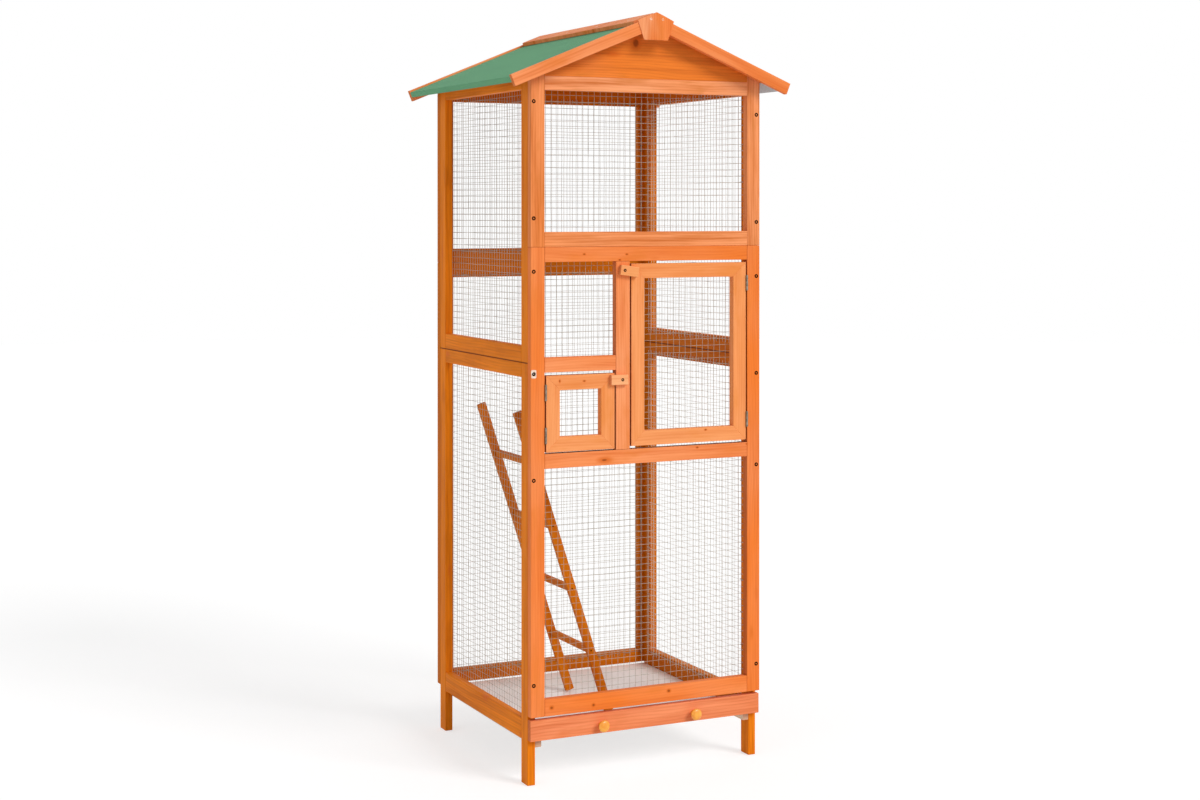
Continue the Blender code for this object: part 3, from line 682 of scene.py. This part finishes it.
def gable_frames():
    """The upper front and rear frames: stiles, a sill, a gable rail and the gable board over it."""
    # The rear frame's deep tones are painted shade inside the cage; the gable board's deep tone is partly
    # painted shade under the roof
    layout = (("front", RAIL, (0.36, 0.16, 0.32, 0.05)), ("rear", REAR_STILE, (0.9, 1.0, 1.0, 0.9)))
    for end, stile, (left_tone, right_tone, sill_tone, foot_tone) in layout:
        boards = Boards(end + "_upper_frame")
        low, high = boards.box
        inner = HALF_W - stile
        foot = GABLE_FOOT[end]
        top = under_deck(inner)
        for sign, tone in ((-1, left_tone), (1, right_tone)):
            corners = ((HALF_W, low.z), (inner, low.z), (inner, top), (HALF_W, under_deck(HALF_W)))
            boards.slab([(sign * x, z) for x, z in corners], Z, tone)
        boards.bar((-inner, low.y, low.z), (inner, high.y, low.z + RAIL), X, sill_tone)
        boards.bar((-inner, low.y, foot), (inner, high.y, foot + GABLE_RAIL), X, foot_tone)
        foot += GABLE_RAIL
        corners = ((-inner, foot), (inner, foot), (inner, top), (0.0, under_deck(0.0)), (-inner, top))
        boards.slab(corners, X, 0.95)
        boards.build()


def wall_frames():
    """The side frames, whose lower stiles are the legs, and the lower rear frame."""
    # The right wall's rails and rear stile get a deep tone that is painted shade, as they lie inside the cage
    for side, rest_tone in (("left", 0.15), ("right", 0.95)):
        for level in ("lower", "upper"):
            boards = Boards(f"{side}_{level}_frame")
            low, high = boards.box
            near, far = low.y + SIDE_STILE, high.y - SIDE_STILE
            if level == "lower":
                seam, facing = high.z, 1
                rails = ((SIDE_BOTTOM, SIDE_BOTTOM + SIDE_FOOT_RAIL), (high.z - RAIL, high.z))
            else:
                seam, facing = low.z, -1
                rails = ((low.z, low.z + SIDE_MIDDLE_RAIL), (high.z - SIDE_TOP_RAIL, high.z))

            # Painted shade on the faces that look into the seam between the lower and upper frames
            def seam_shade_of(at, way):
                return 0.9 if abs(at.z - seam) < 0.002 and way.z * facing > 0.3 else 0.0

            boards.bar(low, (high.x, near, high.z), Z, 0.22, FRAME_SOFT_EDGE, seam_shade_of)
            boards.bar((low.x, far, low.z), high, Z, rest_tone, FRAME_SOFT_EDGE, seam_shade_of)
            for z0, z1 in rails:
                boards.bar((low.x, near, z0), (high.x, far, z1), Y, rest_tone, FRAME_SOFT_EDGE, seam_shade_of)
            boards.build()
    # The rear frame's deep tones are painted shade for boards inside the cage
    boards = Boards("rear_lower_frame")
    low, high = boards.box
    inner = HALF_W - REAR_STILE
    boards.bar(low, (-inner, high.y, high.z), Z, 1.0)
    boards.bar((inner, low.y, low.z), high, Z, 0.95)
    for z0, z1 in ((low.z, low.z + RAIL), (high.z - REAR_TOP_RAIL, high.z)):
        boards.bar((-inner, low.y, z0), (inner, high.y, z1), X, 1.0)
    boards.build()


def door_frames():
    """Both doors: four bars each, mitred at the corners, with painted shade on their outer edges."""
    for door in ("large_door", "small_door"):
        boards = Boards(door + "_frame")
        (x0, _, z0), (x1, _, z1) = boards.box
        a, b, c, d = x0 + RAIL, x1 - RAIL, z0 + RAIL, z1 - RAIL
        bars = (
            (((x0, z0), (x1, z0), (b, c), (a, c)), X, 0.10),
            (((x1, z1), (x0, z1), (a, d), (b, d)), X, 0.25),
            (((x0, z1), (x0, z0), (a, c), (a, d)), Z, 0.05),
            (((x1, z0), (x1, z1), (b, d), (b, c)), Z, 0.20),
        )

        # Painted shade on the outer edges, which lie in the gaps round the door
        def edge_shade_of(at, way):
            at_opening = a - 0.01 < at.x < b + 0.01 and c - 0.01 < at.z < d + 0.01
            return 0.0 if abs(way.y) > 0.3 or at_opening else 1.0

        for corners, along, tone in bars:
            boards.slab(corners, along, tone, FINE_SOFT_EDGE, edge_shade_of)
        boards.build()


def slope_board(boards, sign, inner, outer, under, top, along, tone, soften=SOFT_EDGE):
    """Add a board that runs down the slope from inner to outer, cut upright at the ridge."""
    y = boards.low.y
    rise = (under, top)
    outline = [slope_point(sign, inner, off, y) if inner else ridge_point(sign, off, y) for off in rise]
    outline += [slope_point(sign, outer, off, y) for off in reversed(rise)]
    boards.plank(outline, boards.deep, along, tone, soften)


def roof_boards():
    """Planked decks, ridge caps and barge boards along the slopes."""
    for side, sign in SIDES:
        boards = Boards(side + "_roof_deck")
        end = SLOPE_LENGTH - FELT_THICK - 2 * GAP
        for k in range(DECK_PLANKS):
            inner, outer = end * k / DECK_PLANKS, end * (k + 1) / DECK_PLANKS
            slope_board(boards, sign, inner, outer, DECK_UNDER, DECK_TOP, Y, None, DECK_SOFT_EDGE)
        boards.build()
        boards = Boards(side + "_ridge_cap")
        slope_board(boards, sign, 0.0, CAP_WIDTH, CAP_TOP - CAP_THICK, CAP_TOP, Y, 0.40)
        boards.build()
        down = slope_point(sign, 1.0, 0.0) - slope_point(sign, 0.0, 0.0)
        for end_name in ("front", "rear"):
            boards = Boards(f"{end_name}_{side}_barge_board")
            slope_board(boards, sign, 0.0, SLOPE_LENGTH, -BARGE_HEIGHT, 0.0, down, 0.45 + 0.1 * sign)
            boards.build()


def ridge_plate():
    """The five-sided plate over the front joint, with its two sides planed off."""
    boards = Boards("front_ridge_plate")
    low, high = boards.box
    foot, top, flat = PLATE_FOOT_HALF, PLATE_TOP_HALF, PLATE_FLAT_HALF
    shoulder = slope_z(top, 0.0) + high.z - RIDGE
    face_y, edge_y = low.y + PLATE_FACE, low.y + PLATE_PLANED
    bm = bmesh.new()
    outer = [(-foot, low.z), (foot, low.z), (top, shoulder), (0.0, high.z), (-top, shoulder)]
    back = [bm.verts.new((x, high.y, z)) for x, z in outer]
    rim = [bm.verts.new((x, edge_y if x else face_y, z)) for x, z in outer]
    flat_top = high.z - SLOPE * flat
    face = [(-flat * 0.8, low.z), (flat * 0.8, low.z), (flat, flat_top), (-flat, flat_top)]
    front = [bm.verts.new((x, face_y, z)) for x, z in face]
    bm.faces.new(list(reversed(back)))
    bm.faces.new((front[0], front[1], front[2], rim[3], front[3]))
    bm.faces.new((rim[0], front[0], front[3], rim[4]))
    bm.faces.new((front[1], rim[1], rim[2], front[2]))
    bm.faces.new((rim[4], front[3], rim[3]))
    bm.faces.new((front[2], rim[2], rim[3]))
    bm.faces.new((back[0], back[1], rim[1], front[1], front[0], rim[0]))
    for k in (1, 2, 3, 4):
        n = (k + 1) % 5
        bm.faces.new((back[k], back[n], rim[n], rim[k]))
    bmesh.ops.recalc_face_normals(bm, faces=bm.faces)
    bevel(bm, [e for e in bm.edges if e.is_manifold and e.calc_face_angle() > 0.5], FINE_SOFT_EDGE)
    boards.take(bm, (Z, X, Y), (3.0, 5.0, 7.0), lambda at: 0.0 if at.x < -flat * 0.9 else 0.7)
    boards.build()


def felt_profile(end):
    """A sheet's outline down the slope, as (along, offset, kind): its top, the turn at the eave, its back."""
    base = DECK_TOP + GAP
    top = base + FELT_THICK
    under = DECK_UNDER - GAP
    turn = FELT_THICK * 0.9
    profile = [(end * k / FELT_ROWS, top, TOP) for k in range(FELT_ROWS)]
    for k in range(5):
        angle = math.pi / 2 * k / 4
        along = end + FELT_THICK - turn + turn * math.sin(angle)
        profile.append((along, top - turn + turn * math.cos(angle), TURN))
    profile.append((end + FELT_THICK, under, TURN))
    for along, offset in (
        (end + FELT_THICK * 0.6, under - FELT_THICK * 0.6),
        (end - 0.004, under - FELT_THICK * 0.6),
        (end - FELT_RETURN, under - FELT_THICK * 0.5),
        (end - FELT_RETURN, under),
        (end + GAP / 2, under),
        (end + GAP / 2, base),
        (GAP, base),
    ):
        profile.append((along, offset, BACK))
    return profile


def roof_felt():
    """Each sheet of felt lies on its deck, turns down over the eave and is tacked back under it."""
    end = SLOPE_LENGTH - FELT_THICK - GAP
    profile = felt_profile(end)
    count = len(profile)
    free = CAP_WIDTH + 0.01
    for side, sign in SIDES:
        node = side + "_roof_felt"
        low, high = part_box(node)
        points, faces, back = [], [], []
        for j in range(FELT_COLUMNS + 1):
            y = low.y + (high.y - low.y) * j / FELT_COLUMNS
            for along, offset, kind in profile:
                lift = 0.0
                if kind == TOP and along > free:
                    calm = min(1.0, (along - free) / 0.05, (end - along) / 0.03)
                    rim = min(1.0, j / 3, (FELT_COLUMNS - j) / 3)
                    lift = FELT_LIFT * calm * rim * noise.noise(Vector((along * 14, y * 9, sign * 3.7)))
                points.append(slope_point(sign, along, offset + lift, y))
        for j in range(FELT_COLUMNS):
            for k in range(count):
                n = (k + 1) % count
                a, b = j * count + k, j * count + n
                faces.append((a, b, b + count, a + count))
                back.append(1.0 if profile[k][2] == BACK and profile[n][2] == BACK else 0.0)
        faces.append(list(range(count)))
        faces.append([FELT_COLUMNS * count + k for k in reversed(range(count))])
        back += [0.0, 0.0]
        mesh = bpy.data.meshes.new(side + "_felt_sheet")
        mesh.from_pydata(points, [], faces)
        set_attribute(mesh, "back", "FACE", back)
        bm = bmesh.new()
        bm.from_mesh(mesh)
        stand_for(node, side + "_felt_sheet", to_mesh(bm, side + "_felt"))


def turn_buttons():
    """Both turn buttons: short pale blocks; the large door's hangs a little off the level."""
    for door, tone in (("large_door", 1.0), ("small_door", 0.2)):
        boards = Boards(door + "_turn_button", "_block")
        low, high = boards.box
        corners = ((low.x, low.z), (high.x, low.z), (high.x, high.z), (low.x, high.z))
        boards.plank([(x, high.y, z) for x, z in corners], -boards.deep, X, tone, BUTTON_SOFT_EDGE)
        pivot = Matrix.Translation(JOINTS[door.replace("_door", "") + "_turn_button_pivot"]["pos_m"])
        tilt = Matrix.Rotation(math.radians(BUTTON_TILT[door]), 4, "Y")
        boards.build(pivot @ tilt @ pivot.inverted())


def ladder_turn():
    """The turn that stands the leaning ladder upright about its foot, and the turn back."""
    joint = JOINTS["ladder_tip"]
    lean = Matrix.Rotation(math.radians(joint["range_deg"][1]), 4, "Y")
    upright = lean @ Matrix.Translation(-Vector(joint["pos_m"]))
    return upright, upright.inverted()


def upright_box(node, upright):
    """The box round a piece of the ladder while the ladder is upright."""
    corners = [upright @ vert.co for vert in NODES[node].data.vertices]
    return [min(c[k] for c in corners) for k in range(3)], [max(c[k] for c in corners) for k in range(3)]


def ladder():
    """The leaning ladder: two stringers and four rungs."""
    upright, placed = ladder_turn()
    for node in sorted(n for n in NODES if n.startswith("ladder_")):
        boards = Boards(node)
        # The deep tone is painted shade for the ladder inside the cage
        boards.bar(*upright_box(node, upright), Z if "stringer" in node else Y, 0.9)
        boards.build(placed)


def tray():
    """The tray's white floor, with softened edges, and its two turned knobs."""
    boards = Boards("tray_floor", "_board")
    boards.bar(*boards.box, X)
    boards.build()
    for side, _ in SIDES:
        node = f"tray_{side}_knob"
        low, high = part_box(node)
        mesh = turned(KNOB, 36, f"tray_{side}_turned_knob")
        centre = Vector(((low.x + high.x) / 2, high.y, (low.z + high.z) / 2))
        mesh.transform(Matrix.Translation(centre) @ Matrix.Rotation(math.pi / 2, 4, "X"))
        mesh.shade_smooth()
        stand_for(node, f"tray_{side}_turned_knob", mesh)


def hinges():
    """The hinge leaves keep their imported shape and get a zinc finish."""
    for node, piece in NODES.items():
        if node.endswith("_leaf"):
            for place in piece.material_slots:
                place.material = HINGE_ZINC


class Recipe(Network):
    """A Geometry Nodes tree with named inputs."""

    def __init__(self, name, **inputs):
        super().__init__(bpy.data.node_groups.new(name, "GeometryNodeTree"))
        self.tree.interface.new_socket("Geometry", in_out="OUTPUT", socket_type="NodeSocketGeometry")
        self.ids = {}
        for label, kind in inputs.items():
            socket = self.tree.interface.new_socket(label, in_out="INPUT", socket_type="NodeSocket" + kind)
            self.ids[label] = socket.identifier
        given = self.tree.nodes.new("NodeGroupInput").outputs
        self.given = {label: Value(self, given[label]) for label in inputs}

    def add(self, kind, values=None, out=0, **settings):
        return self.node("GeometryNode" + kind, settings, values, out)

    def join(self, *parts):
        made = self.tree.nodes.new("GeometryNodeJoinGeometry")
        for part in reversed(parts):
            self.feed(made.inputs[0], part)
        return Value(self, made.outputs[0])

    def end(self, geometry):
        """Realise the copies, set their material and hand the geometry over."""
        real = self.add("RealizeInstances", {0: geometry})
        done = self.add("SetMaterial", {"Geometry": real, "Material": self.given["Material"]})
        self.feed(self.tree.nodes.new("NodeGroupOutput").inputs[0], done)

    def make(self, name, carrier_mesh, values):
        """Run the tree on a carrier and return its result as a plain mesh."""
        carrier = add_object(name + "_carrier", carrier_mesh)
        modifier = carrier.modifiers.new("recipe", "NODES")
        modifier.node_group = self.tree
        for label, value in values.items():
            modifier[self.ids[label]] = value
        graph = bpy.context.evaluated_depsgraph_get()
        mesh = bpy.data.meshes.new_from_object(carrier.evaluated_get(graph))
        mesh.name = name
        bpy.data.objects.remove(carrier)
        return mesh


def netting_recipe():
    """Welded netting: upright wires, level wires just in front of them, and a little unevenness."""
    net = Recipe(
        "welded_netting", Width="Float", Height="Float", Columns="Int", Rows="Int", Diameter="Float",
        Depth="Float", Wander="Float", Seed="Float", Material="Material",
    )
    given = net.given
    values = {"Resolution": 5, "Radius": given["Diameter"] * 0.5}
    circle = net.add("CurvePrimitiveCircle", values, mode="RADIUS")
    sets = []
    layout = (("Width", "Height", "Columns", "Rows", False), ("Height", "Width", "Rows", "Columns", True))
    for spread, length, count, crossings, level in layout:
        step = given[spread] / given[count]
        half = step * 0.5
        back = given["Diameter"] * 0.6
        if level:
            run, start, offset = (given[length],), (0.0, half, given["Depth"] - back), (0.0, step)
        else:
            run, start, offset = (0.0, given[length]), (half, 0.0, back), (step,)
        line = net.add("CurvePrimitiveLine", {"End": net.vector(*run)}, mode="POINTS")
        values = {"Curve": line, "Count": given[crossings] * 0.5 + 1}
        line = net.add("ResampleCurve", values, mode="COUNT")
        values = {"Count": given[count], "Start Location": net.vector(*start), "Offset": net.vector(*offset)}
        places = net.add("MeshLine", values, mode="OFFSET", count_mode="TOTAL")
        wires = net.add("InstanceOnPoints", {"Points": places, "Instance": line})
        wires = net.add("RealizeInstances", {0: wires})
        here = net.node("ShaderNodeSeparateXYZ", None, {0: net.add("InputPosition")})
        values = {"Vector": net.vector(here, here.other("Y"), given["Seed"]), "Scale": 26.0, "Detail": 1.0}
        move = net.node("ShaderNodeTexNoise", None, values, "Color")
        for operation, term in (
            ("SUBTRACT", {1: (0.5, 0.5, 0.5)}),
            ("SCALE", {"Scale": given["Wander"]}),
            ("MULTIPLY", {1: (1.0, 1.0, 0.06)}),
        ):
            move = net.node("ShaderNodeVectorMath", {"operation": operation}, {0: move, **term})
        wires = net.add("SetPosition", {"Geometry": wires, "Offset": move})
        values = {"Curve": wires, "Profile Curve": circle, "Fill Caps": True}
        sets.append(net.add("CurveToMesh", values))
    net.end(net.join(*sets))
    return net


def netting():
    """One sheet of netting for each packed net, on the inner face of its frame."""
    recipe = netting_recipe()
    for number, node in enumerate(NETS):
        low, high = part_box(node)
        out = OUTWARD[node.split("_")[0]]
        level = Z.cross(out)
        start = min(low.dot(level), high.dot(level))
        width = max(low.dot(level), high.dot(level)) - start
        height = high.z - low.z
        face = max(low.dot(out), high.dot(out))
        origin = level * start + Z * low.z + out * (face - NETTING_DEPTH)
        values = {
            "Width": width, "Height": height,
            "Columns": round(width / WIRE_PITCH), "Rows": round(height / WIRE_PITCH),
            "Diameter": WIRE_DIAMETER, "Depth": NETTING_DEPTH * 0.92,
            "Wander": WIRE_WANDER, "Seed": 1.7 * number, "Material": finish_of(node),
        }
        name = node.replace("_mesh", "_netting")
        mesh = recipe.make(name, bpy.data.meshes.new(name + "_start"), values)
        mesh.transform(Matrix.Translation(origin) @ Matrix((level, Z, out)).transposed().to_4x4())
        mesh.shade_smooth()
        stand_for(node, name, mesh)


def fastener_recipe():
    """Copies of one head, set on points that carry the way they face, their spin and their size."""
    row = Recipe("set_fasteners", Geometry="Geometry", Head="Object", Size="Float", Material="Material")

    def carried(kind, name):
        return row.add("InputNamedAttribute", {"Name": name}, data_type=kind)

    head = row.add("ObjectInfo", {"Object": row.given["Head"]}, "Geometry")
    points = row.add("MeshToPoints", {"Mesh": row.given["Geometry"]})
    facing = {"Vector": carried("FLOAT_VECTOR", "facing")}
    turn = row.node("FunctionNodeAlignRotationToVector", {"axis": "Z"}, facing)
    spin = {"Axis": (0.0, 0.0, 1.0), "Angle": carried("FLOAT", "spin")}
    both = {"Rotation": turn, "Rotate By": row.node("FunctionNodeAxisAngleToRotation", None, spin)}
    turn = row.node("FunctionNodeRotateRotation", {"rotation_space": "LOCAL"}, both)
    values = {"Points": points, "Instance": head, "Rotation": turn, "Scale": row.given["Size"]}
    row.end(row.add("InstanceOnPoints", values))
    return row


FASTENERS = fastener_recipe()


def staple_crown():
    """The part of a staple that stands out of the wood: a square wire bent over."""
    half = STAPLE_HALF
    path = [(-half, -0.0020), (-half, 0.0011), (-half * 0.86, 0.0019)]
    path += [(-x, z) for x, z in reversed(path)]
    crown = bmesh.new()
    rings = []
    for k, (x, z) in enumerate(path):
        before, after = path[max(k - 1, 0)], path[min(k + 1, len(path) - 1)]
        along = Vector((after[0] - before[0], 0, after[1] - before[1])).normalized()
        side = Y.cross(along)
        around = (Y + side, side - Y, -Y - side, Y - side)
        rings.append([crown.verts.new(Vector((x, 0, z)) + STAPLE_WIRE * p) for p in around])
    for first, second in zip(rings, rings[1:]):
        skin(crown, first, second)
    crown.faces.new(rings[0])
    crown.faces.new(list(reversed(rings[-1])))
    return to_mesh(crown, "staple_crown")


def heads():
    """The heads that are copied: a crossed screw, a flat nail and the crown of a staple."""
    screw = turned(SCREW_HEAD, 16, "screw_head")
    for vert in screw.vertices:
        if 0.0005 < math.hypot(vert.co.x, vert.co.y) < 0.0018:
            lobe = 1 + 0.38 * math.cos(4 * math.atan2(vert.co.y, vert.co.x))
            vert.co.x *= lobe
            vert.co.y *= lobe
    nail = turned(NAIL_HEAD, 12, "nail_head")
    return [add_object(mesh.name + "_pattern", mesh) for mesh in (screw, nail, staple_crown())]


def set_fasteners(name, pattern, places, body, material, size=1.0):
    """Set one kind of fastener of one body at (place, facing, spin) rows, as one plain mesh."""
    start = bpy.data.meshes.new(name + "_start")
    start.from_pydata([place for place, _, _ in places], [], [])
    set_attribute(start, "facing", "POINT", [part for _, way, _ in places for part in way], "FLOAT_VECTOR")
    set_attribute(start, "spin", "POINT", [spin for _, _, spin in places])
    mesh = FASTENERS.make(name, start, {"Head": pattern, "Size": size, "Material": material})
    add_extra(name, mesh, material, body)


def staple_rows(node):
    """Places for staples round the edge of a net, over the bars that hold it."""
    low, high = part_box(node)
    inward = -OUTWARD[node.split("_")[0]]
    level = Z.cross(inward)
    face = max(low.dot(inward), high.dot(inward)) - 0.0008 + NETTING_DEPTH
    ends = sorted((low.dot(level), high.dot(level)))
    a, b = ends[0] + STAPLE_INSET, ends[1] - STAPLE_INSET
    c, d = low.z + STAPLE_INSET, high.z - STAPLE_INSET
    rows = []
    for fixed, start, end, upright in ((c, a, b, False), (d, a, b, False), (a, c, d, True), (b, c, d, True)):
        count = max(2, round((end - start) / STAPLE_SPACING))
        for k in range(count):
            t = start + (end - start) * (k + 0.5) / count
            u, z = (fixed, t) if upright else (t, fixed)
            place = level * u + Z * z + inward * (face - 0.0012)
            rows.append((place, inward, math.pi / 2 if upright else 0.0))
    return rows


def stile_screws(pattern):
    """Screws in the front and rear stiles, each turned at random, and one in the small pale plate."""
    chance = random.Random(7)
    places = []
    for x, heights in SCREWS_FRONT:
        places += [(Vector((x, FRONT_Y, z)), -Y, chance.uniform(0, 3)) for z in heights]
    for z in SCREWS_REAR:
        places += [(Vector((sign * SCREWS_REAR_X, HALF_D, z)), Y, chance.uniform(0, 3)) for sign in (-1, 1)]
    places.append((Vector((KEEPER_PLACE[0], FRONT_Y - 0.0008, KEEPER_PLACE[1])), -Y, 0.0))
    set_fasteners("cage_stile_screws", pattern, places, "cage", BLACK_SCREW, 1.2)


def roof_nails(pattern):
    """Nails in the barge boards, the ridge plate and the ridge caps."""
    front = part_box("front_left_barge_board")[0].y + NAIL_SUNK
    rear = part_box("rear_left_barge_board")[1].y - NAIL_SUNK
    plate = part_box("front_ridge_plate")[0].y + NAIL_SUNK
    places = [(Vector((x, front, slope_z(x, off))), -Y, 0.0) for x, off in BARGE_NAILS]
    places += [(Vector((x, rear, slope_z(x, off))), Y, 0.0) for x, off in REAR_BARGE_NAILS]
    places += [(Vector((sign * PLATE_NAIL[0], plate, RIDGE - PLATE_NAIL[1])), -Y, 0.0) for sign in (-1, 1)]
    for sign in (-1, 1):
        up = (slope_point(sign, 0.0, 1.0) - slope_point(sign, 0.0, 0.0)).normalized()
        places += [(slope_point(sign, CAP_NAIL_ALONG, CAP_TOP, y), up, 0.0) for y in CAP_NAILS_Y]
    set_fasteners("cage_roof_nails", pattern, places, "cage", BRIGHT_NAIL, 1.35)


def ladder_nails(pattern):
    """A nail through each stringer into each rung."""
    upright, placed = ladder_turn()
    places = []
    for k in range(4):
        low, high = upright_box(f"ladder_rung_{k + 1}", upright)
        x, z = (low[0] + high[0]) / 2, (low[2] + high[2]) / 2
        for stringer, side, way in (("front", 0, -Y), ("rear", 1, Y)):
            y = upright_box(f"ladder_{stringer}_stringer", upright)[side][1]
            places.append((placed @ Vector((x, y, z)), way, 0.0))
    set_fasteners("ladder_rung_nails", pattern, places, "ladder", BLACK_SCREW, 0.8)


def fasteners():
    """Screws in the stiles and buttons, nails in the roof boards and rungs, staples round every net."""
    screw, nail, staple = patterns = heads()
    stile_screws(screw)
    roof_nails(nail)
    for door in ("large", "small"):
        body = door + "_turn_button"
        x, _, z = JOINTS[body + "_pivot"]["pos_m"]
        places = [(Vector((x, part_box(door + "_door_turn_button")[0].y, z)), -Y, 0.6)]
        set_fasteners(body + "_screw", screw, places, body, BLACK_SCREW, 0.95)
    for body in ("cage", "large_door", "small_door"):
        places = [row for node in NETS if BODY_OF[node] == body for row in staple_rows(node)]
        set_fasteners(body + "_netting_staples", staple, places, body, WIRE, 1.0)
    ladder_nails(nail)
    for pattern in patterns:
        bpy.data.objects.remove(pattern)


def keeper_plate():
    """The small pale plate on the left stile, with its own screw dimple."""
    bm = bmesh.new()
    centre_x, centre_z = KEEPER_PLACE

    def ring(outline, raised):
        return [bm.verts.new((centre_x + x, FRONT_Y - raised, centre_z + z)) for x, z in outline]

    outline = []
    for x_sign, z_sign, first in ((1, -1, -90), (1, 1, 0), (-1, 1, 90), (-1, -1, 180)):
        for step in range(4):
            angle = math.radians(first + 30 * step)
            x = x_sign * (KEEPER_HALF_WIDTH - KEEPER_CORNER) + KEEPER_CORNER * math.cos(angle)
            z = z_sign * (KEEPER_HALF_HEIGHT - KEEPER_CORNER) + KEEPER_CORNER * math.sin(angle)
            outline.append((x, z))
    rings = [ring(outline, 0.0), ring(outline, 0.0009)]
    angles = [math.radians(-90 + 22.5 * k) for k in range(16)]
    for radius, raised in KEEPER_HOLE:
        rings.append(ring([(radius * math.cos(a), radius * math.sin(a)) for a in angles], raised))
    for first, second in zip(rings, rings[1:]):
        skin(bm, first, second)
    bm.faces.new(rings[-1])
    bm.faces.new(list(reversed(rings[0])))
    add_extra("left_stile_keeper_plate", to_mesh(bm, "left_stile_keeper_plate"), BRIGHT_NAIL, "cage")


def seen_by_eye(network):
    """1 for rays that end in the picture: straight ones and those seen in or through a surface."""
    straight = network.node("ShaderNodeLightPath", out="Is Camera Ray")
    seen = straight + straight.other("Is Glossy Ray") + straight.other("Is Transmission Ray")
    return seen.calculate("MINIMUM", seen, 1.0)


def studio():
    """A white floor and surround, with soft light from the front, above and the side."""
    bm = bmesh.new()
    bmesh.ops.create_circle(bm, cap_ends=True, segments=96, radius=14.0)
    bmesh.ops.translate(bm, verts=bm.verts, vec=(0, 0, -0.0004))
    mesh = bpy.data.meshes.new("studio_floor")
    bm.to_mesh(mesh)
    bm.free()
    pale = Finish("studio_floor", Roughness=0.9, Specular_IOR_Level=0.1, Emission_Strength=FLOOR_GLOW)
    seen = seen_by_eye(pale)
    colour = pale.mix(seen, (0.92, 0.92, 0.92), (FLOOR_SHADE, FLOOR_SHADE, FLOOR_SHADE))
    glow = pale.mix(seen, (0.0, 0.0, 0.0), (1.0, 1.0, 1.0))
    add_piece("studio_floor", mesh, pale.finish(Base_Color=colour, Emission_Color=glow))
    world = bpy.data.worlds.new("studio_light")
    bpy.context.scene.world = world
    world.use_nodes = True
    sky = Network(world.node_tree)
    background = world.node_tree.nodes["Background"].inputs
    sky.feed(background["Color"], (1.0, 1.0, 1.0))
    sky.feed(background["Strength"], seen_by_eye(sky) * (1.0 - WORLD_LIGHT) + WORLD_LIGHT)
    for name, direction, energy, spread in SUNS:
        lamp = bpy.data.lights.new(name, "SUN")
        lamp.energy = energy
        lamp.angle = math.radians(spread)
        sun = add_object(name, lamp)
        sun.rotation_mode = "QUATERNION"
        sun.rotation_quaternion = Vector(direction).to_track_quat("-Z", "Y")


def camera():
    """The camera stands where the photograph's stood."""
    lens = bpy.data.cameras.new("photo_camera")
    lens.sensor_width = 36.0
    lens.sensor_fit = "HORIZONTAL"
    lens.lens = CAMERA_LENS
    lens.shift_x, lens.shift_y = CAMERA_SHIFT
    lens.clip_end = 60.0
    view = add_object("photo_camera", lens)
    view.location = CAMERA_PLACE
    view.rotation_euler = (math.radians(90 - CAMERA_DIP), 0.0, math.radians(-CAMERA_TURN))
    bpy.context.scene.camera = view


camera()
studio()
single_bars()
gable_frames()
wall_frames()
door_frames()
roof_boards()
ridge_plate()
roof_felt()
turn_buttons()
ladder()
tray()
hinges()
netting()
fasteners()
keeper_plate()
bpy.context.scene.view_settings.view_transform = "Standard"
